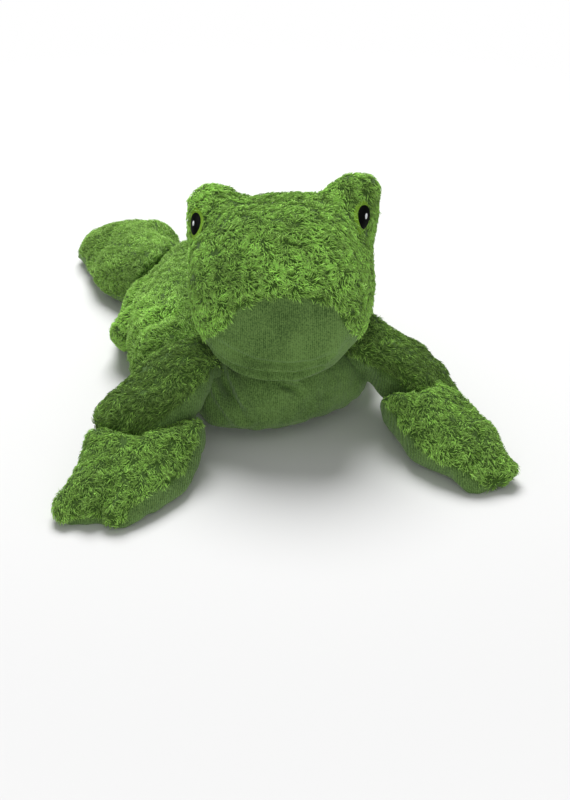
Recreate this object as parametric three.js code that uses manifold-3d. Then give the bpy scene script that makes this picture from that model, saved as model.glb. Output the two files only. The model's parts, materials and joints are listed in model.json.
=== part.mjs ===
import * as THREE from "three";
import { ConvexGeometry } from "three/addons/geometries/ConvexGeometry.js";
import { mergeVertices } from "three/addons/utils/BufferGeometryUtils.js";
import Module from "manifold-3d";

// A slack plush frog lying on its belly, in millimetres, with +Z up.
// The frog faces -Y and its left side is +X. The origin is on the table under the middle of its box.
// Each stuffed form is an outer cover, cut along its seam into panels, round a separate stuffing.

const wasm = await Module();
wasm.setup();

// Cloth, seams and clearances
const COVER_WALL = 2.4;
const SEAM_GAP = 0.3;
const STUFFING_GAP = 0.3;
const JOINT_GAP = 0.4;
const TABLE_FLAT = 0.5;

// Torso
const TORSO_LENGTH = 186;
const TORSO_WIDTH = 134;
const TORSO_HEIGHT = 54;
const TORSO_FRONT_LENGTH = 90;
const CHEST_DEPTH = 30;
const BELLY_SEAM_HEIGHT = 13;
const CHEST_SEAM_BACK = 34;

// Head
const HEAD_LENGTH = 98;
const HEAD_WIDTH = 93.5;
const HEAD_HEIGHT = 79;
const HEAD_BASE = 29;
const HEAD_FRONT_LENGTH = 91;
const HEAD_SHIFT = 9.5;
const MOUTH_WIDTH = 80;
const MOUTH_HEIGHT = 48;
const MOUTH_CORNER_HEIGHT = 20;

// Eye mounds and embroidered eyes
const MOUND_WIDTH = 29;
const MOUND_LENGTH = 42;
const MOUND_HEIGHT = 44;
const MOUND_TOP = 82.5;
const MOUND_SPREAD = 69.5;
const MOUND_BACK = 22;
const IRIS_WIDTH = 13;
const IRIS_HEIGHT = 19;
const PUPIL_WIDTH = 7.5;
const PUPIL_HEIGHT = 12;
const GLINT_WIDTH = 2.2;
const GLINT_HEIGHT = 4.6;
const STITCH_DEPTH = 0.8;
const STITCH_GAP = 0.3;

// Arms and paws
const ARM_LENGTH = 74;
const ARM_WIDTH = 43;
const ARM_HEIGHT = 37;
const PAW_LENGTH = 81;
const PAW_WIDTH = 54;
const PAW_HEIGHT = 29;
const TOE_LENGTH = 24;
const TOE_WIDTH = 19;
const TOE_HEIGHT = 14;

// Hind legs and feet
const THIGH_LENGTH = 56;
const THIGH_WIDTH = 50;
const THIGH_HEIGHT = 46;
const FOOT_LENGTH = 134;
const FOOT_WIDTH = 64;
const FOOT_HEIGHT = 36;

// Facets
const BODY_SIDES = 18;
const BODY_CORE_SIDES = 12;
const LIMB_SIDES = 10;
const LIMB_CORE_SIDES = 8;
const TOE_SIDES = 7;
const TOE_BANDS = 4;
const STITCH_SIDES = 12;
const MOUTH_STEPS = 12;
const SWEEP_STEP_DEGREES = 15;
const ARM_SWEEP_PARTS = 3;
const LEG_SWEEP_PARTS = 2;

// Stations from back to front: along the length, outer and inner half width, top and underside.
const torsoShares = [
  [0, 0, 0, 0.4, 0.4],
  [0.02, 0.28, 0.28, 0.57, 0.15],
  [0.08, 0.48, 0.48, 0.72, 0.02],
  [0.2, 0.68, 0.68, 0.84, 0],
  [0.35, 0.87, 0.87, 0.94, 0],
  [0.5, 1, 1, 1, 0],
  [0.63, 1, 1, 1, 0],
  [0.75, 0.9, 0.9, 0.96, 0],
  [0.86, 0.74, 0.74, 0.86, 0],
  [0.94, 0.56, 0.56, 0.72, 0.03],
  [0.985, 0.36, 0.36, 0.6, 0.13],
  [1, 0, 0, 0.36, 0.36],
];
const headShares = [
  [0, 0, 0, 0.5, 0.5],
  [0.04, 0.42, 0.42, 0.68, 0.32],
  [0.13, 0.7, 0.7, 0.84, 0.2],
  [0.28, 0.91, 0.91, 0.96, 0.08],
  [0.45, 1, 1, 1, 0.02],
  [0.62, 1, 1, 0.97, 0],
  [0.77, 0.96, 0.96, 0.87, 0],
  [0.88, 0.88, 0.88, 0.77, 0.02],
  [0.955, 0.76, 0.76, 0.7, 0.06],
  [0.99, 0.58, 0.58, 0.63, 0.14],
  [1, 0, 0, 0.42, 0.42],
];
const armShares = [
  [0, 0, 0, 0.5, 0.5],
  [0.07, 0.6, 0.6, 0.82, 0.3],
  [0.22, 0.9, 0.9, 0.98, 0.2],
  [0.45, 1, 1, 1, 0.14],
  [0.7, 0.96, 0.96, 0.94, 0.1],
  [0.9, 0.7, 0.7, 0.76, 0.18],
  [0.975, 0.4, 0.4, 0.62, 0.3],
  [1, 0, 0, 0.45, 0.45],
];
const pawShares = [
  [0, 0, 0, 0.6, 0.6],
  [0.04, 0.16, 0.6, 0.86, 0.3],
  [0.14, 0.46, 0.96, 1, 0.04],
  [0.32, 0.8, 1.06, 0.98, 0],
  [0.52, 0.9, 1.06, 0.88, 0],
  [0.72, 0.82, 0.98, 0.74, 0],
  [0.88, 0.6, 0.76, 0.6, 0.02],
  [0.97, 0.34, 0.44, 0.46, 0.1],
  [1, 0, 0, 0.28, 0.28],
];
const thighShares = [
  [0, 0, 0, 0.5, 0.5],
  [0.06, 0.56, 0.56, 0.8, 0.16],
  [0.2, 0.88, 0.88, 0.98, 0.02],
  [0.42, 1, 1, 1, 0],
  [0.66, 0.96, 0.96, 0.94, 0],
  [0.86, 0.74, 0.74, 0.78, 0.06],
  [0.96, 0.44, 0.44, 0.6, 0.18],
  [1, 0, 0, 0.4, 0.4],
];
const footShares = [
  [0, 0, 0, 0.5, 0.5],
  [0.05, 0.3, 0.3, 0.78, 0.16],
  [0.18, 0.5, 0.5, 0.92, 0.02],
  [0.38, 0.72, 0.72, 1, 0],
  [0.6, 0.96, 0.96, 0.96, 0],
  [0.78, 1, 1, 0.84, 0],
  [0.92, 0.78, 0.78, 0.66, 0.02],
  [0.98, 0.5, 0.5, 0.5, 0.1],
  [1, 0, 0, 0.3, 0.3],
];
// Toes: place along the length and across the half width, outwards positive.
const pawToeShares = [
  [0.86, -0.36],
  [0.91, 0.36],
];
const footToeShares = [
  [0.8, 0.78],
  [0.92, 0.05],
  [0.84, -0.7],
];
// Girth: where the section is widest, from its underside to its top.
const bodyGirthShare = 0.4;
const headGirthShare = 0.5;
const limbGirthShare = 0.45;
// Exponent of the superellipse sections, above 2 for fuller corners.
const BODY_FULLNESS = 2.3;
const HEAD_FULLNESS = 2.7;
const CHIN_FULLNESS = 1.9;
const LIMB_FULLNESS = 2.2;

// Where limbs leave the torso, as shares of its half width, of its length from the front, and of its height.
const shoulderShares = { out: 0.5, back: 0.21, up: 0.68 };
const hipShares = { out: 0.28, back: 0.76, up: 0.42 };
// How far into the previous piece of a limb the next one starts, and where its pivot lies.
const elbowShare = 0.757;
const pawRootShare = 0.17;
const kneeShare = 0.3;
const footRootShare = 0.05;
const shoulderPivotShare = 0.18;
const hipPivotShare = 0.24;

// The pose, in degrees. Yaw is outwards from straight ahead, drop is nose down, roll tilts the top outwards.
// A slack paw lies tucked under the arm by a share of the arm's width, and spread wider or narrower.
const HEAD_TURN_DEGREES = -14;
const HEAD_ROLL_DEGREES = -5.5;
const TORSO_TURN_DEGREES = 7;
const pose = {
  right: {
    arm: { yawDegrees: 52, dropDegrees: 19, rollDegrees: 0 },
    paw: { yawDegrees: 30, dropDegrees: 1, rollDegrees: -6 },
    tuckShare: 0.14,
    spreadShare: 1.06,
    thigh: { yawDegrees: 46, dropDegrees: 6, rollDegrees: 0 },
    foot: { yawDegrees: 171, dropDegrees: 1, rollDegrees: 0 },
  },
  left: {
    arm: { yawDegrees: 46, dropDegrees: 19, rollDegrees: 0 },
    paw: { yawDegrees: 17, dropDegrees: 1, rollDegrees: -10 },
    tuckShare: 0.05,
    spreadShare: 0.88,
    thigh: { yawDegrees: 60, dropDegrees: 6, rollDegrees: 0 },
    foot: { yawDegrees: 178, dropDegrees: 1, rollDegrees: 0 },
  },
};
const seamTiltDegrees = { arm: 24, paw: 4, thigh: 10, foot: 0 };
const seamShares = { arm: 0.5, paw: 0.4, thigh: 0.5, foot: 0.4 };
const eyeAim = {
  right: { yawDegrees: 34, riseDegrees: 20 },
  left: { yawDegrees: 20, riseDegrees: 20 },
};

// Ranges of the joints in degrees, from the pose above, with lifting or swinging out positive.
const KNEE_SPLAY_DEGREES = 24;
const rangesInDegrees = {
  neck: [0, 20],
  shoulder: [-12, 24],
  elbow: [-5, 45],
  hip: [-4, 12],
  knee: [0, 35],
};

const SIDES = { right: -1, left: 1 };
const OVERRUN = 2 * TORSO_LENGTH;
const radians = THREE.MathUtils.degToRad;

// Materials
const pile = new THREE.MeshStandardMaterial({ color: 0x5c8a36, roughness: 0.95, metalness: 0 });
const velour = new THREE.MeshStandardMaterial({ color: 0x4b6f35, roughness: 0.85, metalness: 0 });
const stuffing = new THREE.MeshStandardMaterial({ color: 0xe9e6dc, roughness: 1, metalness: 0 });
const irisThread = new THREE.MeshStandardMaterial({ color: 0x6f9c2e, roughness: 0.7, metalness: 0 });
const pupilThread = new THREE.MeshStandardMaterial({ color: 0x0c0d0c, roughness: 0.4, metalness: 0 });
const glintThread = new THREE.MeshStandardMaterial({ color: 0xe8ebec, roughness: 0.5, metalness: 0 });

// A closed geometry with only its shared vertices.
function bareGeometry(geometry) {
  const bare = geometry.clone();
  bare.deleteAttribute("normal");
  bare.deleteAttribute("uv");
  return mergeVertices(bare);
}

function toSolid(geometry) {
  const bare = bareGeometry(geometry);
  const vertProperties = new Float32Array(bare.attributes.position.array);
  const triVerts = new Uint32Array(bare.index.array);
  return new wasm.Manifold(new wasm.Mesh({ numProp: 3, vertProperties, triVerts }));
}

function toGeometry(solid) {
  const { vertProperties, triVerts } = solid.getMesh();
  const geometry = new THREE.BufferGeometry();
  geometry.setAttribute("position", new THREE.BufferAttribute(vertProperties, 3));
  geometry.setIndex(new THREE.BufferAttribute(triVerts, 1));
  return geometry;
}

function joined(solids) {
  return solids.reduce((whole, next) => whole.add(next));
}

// The skin moved inwards by depth along its vertex normals; a negative depth swells it.
function skinAtDepth(skin, depth) {
  const moved = skin.clone();
  moved.computeVertexNormals();
  const places = moved.attributes.position;
  const normals = moved.attributes.normal;
  for (let i = 0; i < places.count; i += 1) {
    places.setXYZ(
      i,
      places.getX(i) - depth * normals.getX(i),
      places.getY(i) - depth * normals.getY(i),
      places.getZ(i) - depth * normals.getZ(i),
    );
  }
  return moved;
}

// The outside of a form has all its facets; below it, its plainer core is enough.
function formAtDepth(form, depth) {
  const skins = depth > 0 ? form.core : form.skins;
  return joined(skins.map((skin) => toSolid(skinAtDepth(skin, depth))));
}

function signedPower(value, exponent) {
  return Math.sign(value) * Math.abs(value) ** exponent;
}

// One ring of a station's superellipse, anticlockwise seen from the front.
function ringPoints(row, sizes, side) {
  const [along, outer, inner, top, bottom] = row;
  const y = sizes.start - along * sizes.length;
  const level = (bottom + (top - bottom) * sizes.girthShare) * sizes.height;
  const points = [];
  for (let k = 0; k < sizes.sides; k += 1) {
    const angle = (2 * Math.PI * k) / sizes.sides;
    const fullness = Math.sin(angle) < 0 ? sizes.underFullness : sizes.fullness;
    const across = signedPower(Math.cos(angle), 2 / fullness);
    const rise = signedPower(Math.sin(angle), 2 / fullness);
    const half = ((across > 0 ? outer : inner) * sizes.width) / 2;
    const reach = rise > 0 ? top * sizes.height - level : level - bottom * sizes.height;
    points.push(side * across * half, y, level + rise * reach);
  }
  return points;
}

// A closed skin through the stations. Its first and last station are points.
function loftSkin(shares, sizes, side) {
  const rings = shares.slice(1, -1).map((row) => ringPoints(row, sizes, side));
  const tips = [shares[0], shares[shares.length - 1]].map((row) => [
    0,
    sizes.start - row[0] * sizes.length,
    row[3] * sizes.height,
  ]);
  const places = [...rings.flat(), ...tips.flat()];
  const count = sizes.sides;
  const backTip = rings.length * count;
  const faces = [];
  for (let k = 0; k < count; k += 1) {
    const next = (k + 1) % count;
    const last = (rings.length - 1) * count;
    faces.push([backTip, next, k]);
    faces.push([backTip + 1, last + k, last + next]);
    for (let r = 0; r < rings.length - 1; r += 1) {
      const here = r * count;
      const ahead = here + count;
      faces.push([here + k, here + next, ahead + k]);
      faces.push([here + next, ahead + next, ahead + k]);
    }
  }
  const ordered = side < 0 ? faces.map((face) => [...face].reverse()) : faces;
  const skin = new THREE.BufferGeometry();
  skin.setAttribute("position", new THREE.Float32BufferAttribute(places, 3));
  skin.setIndex(ordered.flat());
  return skin;
}

// An ellipsoid of full sizes wide, long and high about a point of a form's own frame.
function roundSkin(wide, long, high, centre) {
  const ball = new THREE.SphereGeometry(1, TOE_SIDES, TOE_BANDS);
  ball.rotateX(Math.PI / 2);
  ball.scale(wide / 2, long / 2, high / 2);
  ball.translate(...centre);
  return bareGeometry(ball);
}

// The frame of a form: origin, then yaw outwards, nose down by drop, and roll.
function frameAt(origin, { yawDegrees, dropDegrees, rollDegrees }, side) {
  const drop = radians(dropDegrees);
  const turn = new THREE.Euler(drop, radians(side * rollDegrees), radians(side * yawDegrees), "ZXY");
  return new THREE.Matrix4().makeRotationFromEuler(turn).setPosition(origin);
}

// A form of one lofted skin, with smaller skins such as toes joined to its outside.
function makeForm(shares, sizes, details, frame, side) {
  const place = (skin) => skin.clone().applyMatrix4(frame);
  const coreSizes = { ...sizes, sides: sizes.coreSides };
  return {
    skins: [loftSkin(shares, sizes, side), ...details].map(place),
    core: [place(loftSkin(shares, coreSizes, side))],
    frame,
    side,
  };
}

// A block whose face lies in the frame's own level plane at height, reaching up (1) or down (-1).
function halfSpace(frame, height, direction) {
  const block = new THREE.BoxGeometry(OVERRUN, OVERRUN, OVERRUN);
  block.translate(0, 0, height + (direction * OVERRUN) / 2);
  return toSolid(block.applyMatrix4(frame));
}

function aboutAxis(joint, degrees) {
  const away = new THREE.Matrix4().makeTranslation(...joint.pivot.clone().negate());
  const turn = new THREE.Matrix4().makeRotationAxis(joint.axis, radians(degrees));
  return new THREE.Matrix4().makeTranslation(...joint.pivot).multiply(turn).multiply(away);
}

// The hull of the places that a skin takes up between two turns about a joint, in degrees.
function hullBetween(skin, joint, least, most) {
  const count = Math.ceil((most - least) / SWEEP_STEP_DEGREES);
  const points = [];
  for (let i = 0; i <= count; i += 1) {
    const turn = aboutAxis(joint, least + ((most - least) * i) / count);
    const places = skin.clone().applyMatrix4(turn).attributes.position;
    for (let k = 0; k < places.count; k += 1) {
      points.push(new THREE.Vector3().fromBufferAttribute(places, k));
    }
  }
  return toSolid(new ConvexGeometry(points));
}

// All places that a larger form takes up, as seen from a piece that turns about the joint, swollen by a gap.
function sweptForm({ larger, joint, parts }, gap) {
  const skin = skinAtDepth(larger.skins[0], -gap);
  const [least, most] = joint.range;
  const span = (most - least) / parts;
  const hulls = [];
  for (let i = 0; i < parts; i += 1) {
    hulls.push(hullBetween(skin, joint, i * span - most, (i + 1) * span - most));
  }
  return joined(hulls);
}

// The form at a depth, cut flat where it rests on the table and back from the larger forms it moves against.
function clearedForm(form, depth, cuts) {
  const table = halfSpace(new THREE.Matrix4(), depth, -1);
  const whole = formAtDepth(form, depth).subtract(table);
  return cuts.reduce((solid, cut) => solid.subtract(sweptForm(cut, JOINT_GAP + depth)), whole);
}

function meshOf(name, solid, material) {
  const mesh = new THREE.Mesh(toGeometry(solid), material.clone());
  mesh.name = name;
  return mesh;
}

// Cover panels and stuffing of one form. The lower region and the upper one are the two sides of its seam.
function coverMeshes(names, form, cuts, lowerRegion, upperRegion) {
  const shell = clearedForm(form, 0, cuts).subtract(clearedForm(form, COVER_WALL, cuts));
  return [
    meshOf(names.top, shell.subtract(lowerRegion), pile),
    meshOf(names.under, shell.subtract(upperRegion), velour),
    meshOf(names.filling, clearedForm(form, COVER_WALL + STUFFING_GAP, cuts), stuffing),
  ];
}

function limbMeshes(name, kind, form, height, cuts) {
  const lean = new THREE.Matrix4().makeRotationY(radians(form.side * seamTiltDegrees[kind]));
  const rise = new THREE.Matrix4().makeTranslation(0, 0, seamShares[kind] * height);
  const seam = form.frame.clone().multiply(rise).multiply(lean);
  const names = { top: `${name}_top_panel`, under: `${name}_under_panel`, filling: `${name}_filling` };
  const below = halfSpace(seam, SEAM_GAP / 2, -1);
  const above = halfSpace(seam, -SEAM_GAP / 2, 1);
  return coverMeshes(names, form, cuts, below, above);
}

// A group at a joint's pivot. Its own frame is the part's, moved to the pivot.
function pivotGroup(joint, parent) {
  const group = new THREE.Group();
  group.name = joint.name;
  group.userData = { axis: joint.axis.toArray(), range: joint.range };
  const origin = new THREE.Vector3();
  parent.updateWorldMatrix(true, false);
  group.position.copy(joint.pivot).sub(origin.setFromMatrixPosition(parent.matrixWorld));
  parent.add(group);
  group.updateWorldMatrix(true, false);
  return group;
}

function seat(group, meshes) {
  const back = new THREE.Vector3().setFromMatrixPosition(group.matrixWorld).negate();
  for (const mesh of meshes) {
    mesh.geometry.translate(...back);
    group.add(mesh);
  }
}

// Torso
const chestPlace = CHEST_DEPTH - TORSO_FRONT_LENGTH;
const torsoFrame = new THREE.Matrix4()
  .makeTranslation(0, chestPlace, -TABLE_FLAT)
  .multiply(new THREE.Matrix4().makeRotationZ(radians(TORSO_TURN_DEGREES)))
  .multiply(new THREE.Matrix4().makeTranslation(0, -chestPlace, 0));
const torsoSizes = {
  start: TORSO_LENGTH - TORSO_FRONT_LENGTH,
  length: TORSO_LENGTH,
  width: TORSO_WIDTH,
  height: TORSO_HEIGHT,
  girthShare: bodyGirthShare,
  fullness: BODY_FULLNESS,
  underFullness: BODY_FULLNESS,
  sides: BODY_SIDES,
  coreSides: BODY_CORE_SIDES,
};
const torso = makeForm(torsoShares, torsoSizes, [], torsoFrame, 1);

// The velour belly: all below a low level, and the chest in front of a slanted plane that rises to the chin.
function bellyRegion(grow) {
  const slant = new THREE.Matrix4()
    .makeTranslation(0, CHEST_SEAM_BACK - TORSO_FRONT_LENGTH, HEAD_BASE)
    .multiply(new THREE.Matrix4().makeRotationX(-Math.PI / 4));
  const chest = halfSpace(slant, grow, -1);
  return halfSpace(new THREE.Matrix4(), BELLY_SEAM_HEIGHT + grow, -1).add(chest);
}

function torsoMeshes() {
  const shell = clearedForm(torso, 0, []).subtract(clearedForm(torso, COVER_WALL, []));
  return [
    meshOf("torso_back_panel", shell.subtract(bellyRegion(SEAM_GAP / 2)), pile),
    meshOf("torso_belly_panel", shell.intersect(bellyRegion(-SEAM_GAP / 2)), velour),
    meshOf("torso_filling", clearedForm(torso, COVER_WALL + STUFFING_GAP, []), stuffing),
  ];
}

// Head
const headFrame = new THREE.Matrix4()
  .makeTranslation(HEAD_SHIFT, HEAD_LENGTH / 2 - HEAD_FRONT_LENGTH, HEAD_BASE)
  .multiply(new THREE.Matrix4().makeRotationZ(radians(HEAD_TURN_DEGREES)))
  .multiply(new THREE.Matrix4().makeRotationY(radians(HEAD_ROLL_DEGREES)));
const headSizes = {
  start: HEAD_LENGTH / 2,
  length: HEAD_LENGTH,
  width: HEAD_WIDTH,
  height: HEAD_HEIGHT,
  girthShare: headGirthShare,
  fullness: HEAD_FULLNESS,
  underFullness: CHIN_FULLNESS,
  sides: BODY_SIDES,
  coreSides: BODY_CORE_SIDES,
};
const moundSkins = Object.values(SIDES).map((side) =>
  roundSkin(MOUND_WIDTH, MOUND_LENGTH, MOUND_HEIGHT, [
    (side * MOUND_SPREAD) / 2,
    MOUND_BACK,
    MOUND_TOP - MOUND_HEIGHT / 2,
  ]),
);
const head = makeForm(headShares, headSizes, moundSkins, headFrame, 1);

// The velour throat: a prism with an arched top, from ahead of the face back to under the head.
function throatRegion(grow) {
  const half = MOUTH_WIDTH / 2 + grow;
  const rise = MOUTH_HEIGHT - MOUTH_CORNER_HEIGHT + grow;
  const arch = new THREE.Shape();
  arch.moveTo(-half, -OVERRUN);
  for (let i = 0; i <= MOUTH_STEPS; i += 1) {
    const angle = Math.PI * (1 - i / MOUTH_STEPS);
    const across = signedPower(Math.cos(angle), 2 / HEAD_FULLNESS);
    const up = signedPower(Math.sin(angle), 2 / HEAD_FULLNESS);
    arch.lineTo(half * across, MOUTH_CORNER_HEIGHT + rise * up);
  }
  arch.lineTo(half, -OVERRUN);
  const prism = new THREE.ExtrudeGeometry(arch, { depth: OVERRUN, bevelEnabled: false, steps: 1 });
  prism.rotateX(Math.PI / 2);
  prism.translate(0, grow, 0);
  return toSolid(prism.applyMatrix4(headFrame));
}

function headMeshes(cuts) {
  const shell = clearedForm(head, 0, cuts).subtract(clearedForm(head, COVER_WALL, cuts));
  return [
    meshOf("head_pile_cover", shell.subtract(throatRegion(SEAM_GAP / 2)), pile),
    meshOf("head_throat_panel", shell.intersect(throatRegion(-SEAM_GAP / 2)), velour),
    meshOf("head_filling", clearedForm(head, COVER_WALL + STUFFING_GAP, cuts), stuffing),
  ];
}

// A stitched patch that follows the head's cover, from one height above it to another.
function stitchPatch(aim, side, wide, high, lift, shift) {
  const column = new THREE.CylinderGeometry(1, 1, 1, STITCH_SIDES);
  column.scale(wide / 2, MOUND_LENGTH, high / 2);
  column.translate(side * shift, -MOUND_LENGTH / 2, 0);
  column.rotateX(radians(-aim.riseDegrees));
  column.rotateZ(radians(side * aim.yawDegrees));
  column.translate((side * MOUND_SPREAD) / 2, MOUND_BACK, MOUND_TOP - MOUND_HEIGHT / 2);
  const band = formAtDepth(head, -lift - STITCH_DEPTH).subtract(formAtDepth(head, -lift));
  return band.intersect(toSolid(column.applyMatrix4(headFrame)));
}

function eyeMeshes(name, side) {
  const layer = STITCH_DEPTH + STITCH_GAP;
  const glintShift = PUPIL_WIDTH / 2 - GLINT_WIDTH;
  const patches = [
    ["iris", IRIS_WIDTH, IRIS_HEIGHT, 0, irisThread],
    ["pupil", PUPIL_WIDTH, PUPIL_HEIGHT, 0, pupilThread],
    ["glint", GLINT_WIDTH, GLINT_HEIGHT, glintShift, glintThread],
  ];
  return patches.map(([part, wide, high, shift, thread], index) => {
    const patch = stitchPatch(eyeAim[name], side, wide, high, STITCH_GAP + index * layer, shift);
    return meshOf(`${name}_eye_${part}`, patch, thread);
  });
}

const upAxis = new THREE.Vector3(0, 0, 1);

function forwardOf(frame) {
  return new THREE.Vector3(0, -1, 0).transformDirection(frame);
}

// A hinge across a limb that lifts what lies ahead of it, straight up or splayed outwards.
function liftJoint(name, pivot, direction, range, splayDegrees, side) {
  const lean = new THREE.Vector3(side * Math.sin(radians(splayDegrees)), 0, 0);
  const lift = upAxis.clone().multiplyScalar(Math.cos(radians(splayDegrees))).add(lean);
  return { name, pivot, axis: direction.clone().cross(lift).normalize(), range };
}

function placeOnTorso(shares, side) {
  return new THREE.Vector3(
    (side * shares.out * TORSO_WIDTH) / 2,
    shares.back * TORSO_LENGTH - TORSO_FRONT_LENGTH,
    shares.up * TORSO_HEIGHT,
  ).applyMatrix4(torsoFrame);
}

// A point on a form's own axis, at a share of its length.
function alongForm(frame, start, length, share) {
  return new THREE.Vector3(0, start - share * length, 0).applyMatrix4(frame);
}

function limbSizes(start, length, width, height) {
  return {
    start,
    length,
    width,
    height,
    girthShare: limbGirthShare,
    fullness: LIMB_FULLNESS,
    underFullness: LIMB_FULLNESS,
    sides: LIMB_SIDES,
    coreSides: LIMB_CORE_SIDES,
  };
}

function toeSkins(shares, sizes, side) {
  return shares.map(([along, across]) =>
    roundSkin(TOE_WIDTH, TOE_LENGTH, TOE_HEIGHT, [
      (side * across * sizes.width) / 2,
      sizes.start - along * sizes.length,
      TOE_HEIGHT / 2,
    ]),
  );
}

// Upper arm and paw of one side
function buildArm(name, side, parent) {
  const turns = pose[name];
  const shoulder = placeOnTorso(shoulderShares, side);
  const armFrame = frameAt(shoulder, turns.arm, side);
  const lower = new THREE.Matrix4().makeTranslation(0, 0, -ARM_HEIGHT / 2);
  const armSizes = limbSizes(0, ARM_LENGTH, ARM_WIDTH, ARM_HEIGHT);
  const arm = makeForm(armShares, armSizes, [], armFrame.clone().multiply(lower), side);
  const swing = {
    name: `${name}_shoulder`,
    pivot: alongForm(armFrame, 0, ARM_LENGTH, shoulderPivotShare),
    axis: new THREE.Vector3(0, 0, side),
    range: rangesInDegrees.shoulder,
  };
  const elbow = alongForm(armFrame, 0, ARM_LENGTH, elbowShare);
  elbow.x -= side * turns.tuckShare * ARM_WIDTH;
  const pawStart = pawRootShare * PAW_LENGTH;
  const pawFrame = frameAt(new THREE.Vector3(elbow.x, elbow.y, -TABLE_FLAT), turns.paw, side);
  const pawHeight = PAW_HEIGHT / turns.spreadShare;
  const pawSizes = limbSizes(pawStart, PAW_LENGTH, PAW_WIDTH * turns.spreadShare, pawHeight);
  const paw = makeForm(pawShares, pawSizes, toeSkins(pawToeShares, pawSizes, side), pawFrame, side);
  const bend = liftJoint(
    `${name}_elbow`,
    new THREE.Vector3(elbow.x, elbow.y, pawHeight / 2),
    forwardOf(pawFrame),
    rangesInDegrees.elbow,
    0,
    side,
  );
  const armCuts = [
    { larger: torso, joint: swing, parts: ARM_SWEEP_PARTS },
    { larger: head, joint: swing, parts: ARM_SWEEP_PARTS },
  ];
  const armGroup = pivotGroup(swing, parent);
  seat(armGroup, limbMeshes(`${name}_upper_arm`, "arm", arm, ARM_HEIGHT, armCuts));
  const pawGroup = pivotGroup(bend, armGroup);
  const pawCuts = [{ larger: arm, joint: bend, parts: 1 }];
  seat(pawGroup, limbMeshes(`${name}_paw`, "paw", paw, pawHeight, pawCuts));
}

// Thigh and foot of one side
function buildLeg(name, side, parent) {
  const turns = pose[name];
  const hip = placeOnTorso(hipShares, side);
  const thighFrame = frameAt(hip, turns.thigh, side);
  const lower = new THREE.Matrix4().makeTranslation(0, 0, -THIGH_HEIGHT / 2);
  const thighSizes = limbSizes(0, THIGH_LENGTH, THIGH_WIDTH, THIGH_HEIGHT);
  const thigh = makeForm(thighShares, thighSizes, [], thighFrame.clone().multiply(lower), side);
  const lift = liftJoint(
    `${name}_hip`,
    alongForm(thighFrame, 0, THIGH_LENGTH, hipPivotShare),
    new THREE.Vector3(side, 0, 0),
    rangesInDegrees.hip,
    0,
    side,
  );
  const knee = alongForm(thighFrame, 0, THIGH_LENGTH, kneeShare);
  const footStart = footRootShare * FOOT_LENGTH;
  const footFrame = frameAt(new THREE.Vector3(knee.x, knee.y, -TABLE_FLAT), turns.foot, side);
  const footSizes = limbSizes(footStart, FOOT_LENGTH, FOOT_WIDTH, FOOT_HEIGHT);
  const foot = makeForm(footShares, footSizes, toeSkins(footToeShares, footSizes, side), footFrame, side);
  const bend = liftJoint(
    `${name}_knee`,
    new THREE.Vector3(knee.x, knee.y, FOOT_HEIGHT / 2),
    forwardOf(footFrame),
    rangesInDegrees.knee,
    KNEE_SPLAY_DEGREES,
    side,
  );
  const legGroup = pivotGroup(lift, parent);
  const thighCuts = [{ larger: torso, joint: lift, parts: LEG_SWEEP_PARTS }];
  seat(legGroup, limbMeshes(`${name}_thigh`, "thigh", thigh, THIGH_HEIGHT, thighCuts));
  const footGroup = pivotGroup(bend, legGroup);
  const footCuts = [
    { larger: thigh, joint: bend, parts: 1 },
    { larger: torso, joint: bend, parts: 1 },
    { larger: torso, joint: lift, parts: 1 },
  ];
  seat(footGroup, limbMeshes(`${name}_foot`, "foot", foot, FOOT_HEIGHT, footCuts));
}

const frog = new THREE.Group();
seat(frog, torsoMeshes());

const nod = {
  name: "neck",
  pivot: new THREE.Vector3(0, HEAD_LENGTH - HEAD_FRONT_LENGTH, TORSO_HEIGHT),
  axis: new THREE.Vector3(-1, 0, 0),
  range: rangesInDegrees.neck,
};
const headGroup = pivotGroup(nod, frog);
seat(headGroup, headMeshes([{ larger: torso, joint: nod, parts: 1 }]));

for (const [name, side] of Object.entries(SIDES)) {
  seat(headGroup, eyeMeshes(name, side));
  buildArm(name, side, frog);
  buildLeg(name, side, frog);
}

// The origin goes under the middle of the box, on the table.
const box = new THREE.Box3().setFromObject(frog);
frog.position.set(-(box.min.x + box.max.x) / 2, -(box.min.y + box.max.y) / 2, -box.min.z);

export default frog;
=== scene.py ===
import json
import logging
import math
from collections.abc import Iterator
from contextlib import contextmanager
from dataclasses import dataclass, field, replace
from enum import Enum
from typing import NamedTuple

import bpy
import numpy as np
from mathutils import Matrix, Vector
from mathutils.bvhtree import BVHTree
from mathutils.kdtree import KDTree


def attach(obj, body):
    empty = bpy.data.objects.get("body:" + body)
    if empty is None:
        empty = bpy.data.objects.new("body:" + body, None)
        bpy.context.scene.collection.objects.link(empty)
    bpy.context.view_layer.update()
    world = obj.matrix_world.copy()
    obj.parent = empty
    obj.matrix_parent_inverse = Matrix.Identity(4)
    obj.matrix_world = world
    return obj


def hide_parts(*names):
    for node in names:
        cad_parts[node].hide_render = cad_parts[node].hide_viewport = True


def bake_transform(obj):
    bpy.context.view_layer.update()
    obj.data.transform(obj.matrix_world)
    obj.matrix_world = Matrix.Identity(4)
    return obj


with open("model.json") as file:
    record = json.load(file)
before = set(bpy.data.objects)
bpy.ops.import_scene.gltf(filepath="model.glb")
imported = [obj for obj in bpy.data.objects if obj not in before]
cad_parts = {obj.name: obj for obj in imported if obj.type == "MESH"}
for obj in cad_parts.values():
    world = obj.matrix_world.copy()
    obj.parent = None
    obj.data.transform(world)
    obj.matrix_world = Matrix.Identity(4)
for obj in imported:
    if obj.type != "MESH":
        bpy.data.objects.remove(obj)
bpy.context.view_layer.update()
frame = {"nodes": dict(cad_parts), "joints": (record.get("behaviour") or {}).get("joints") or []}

log = logging.getLogger("plush_frog")

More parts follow.
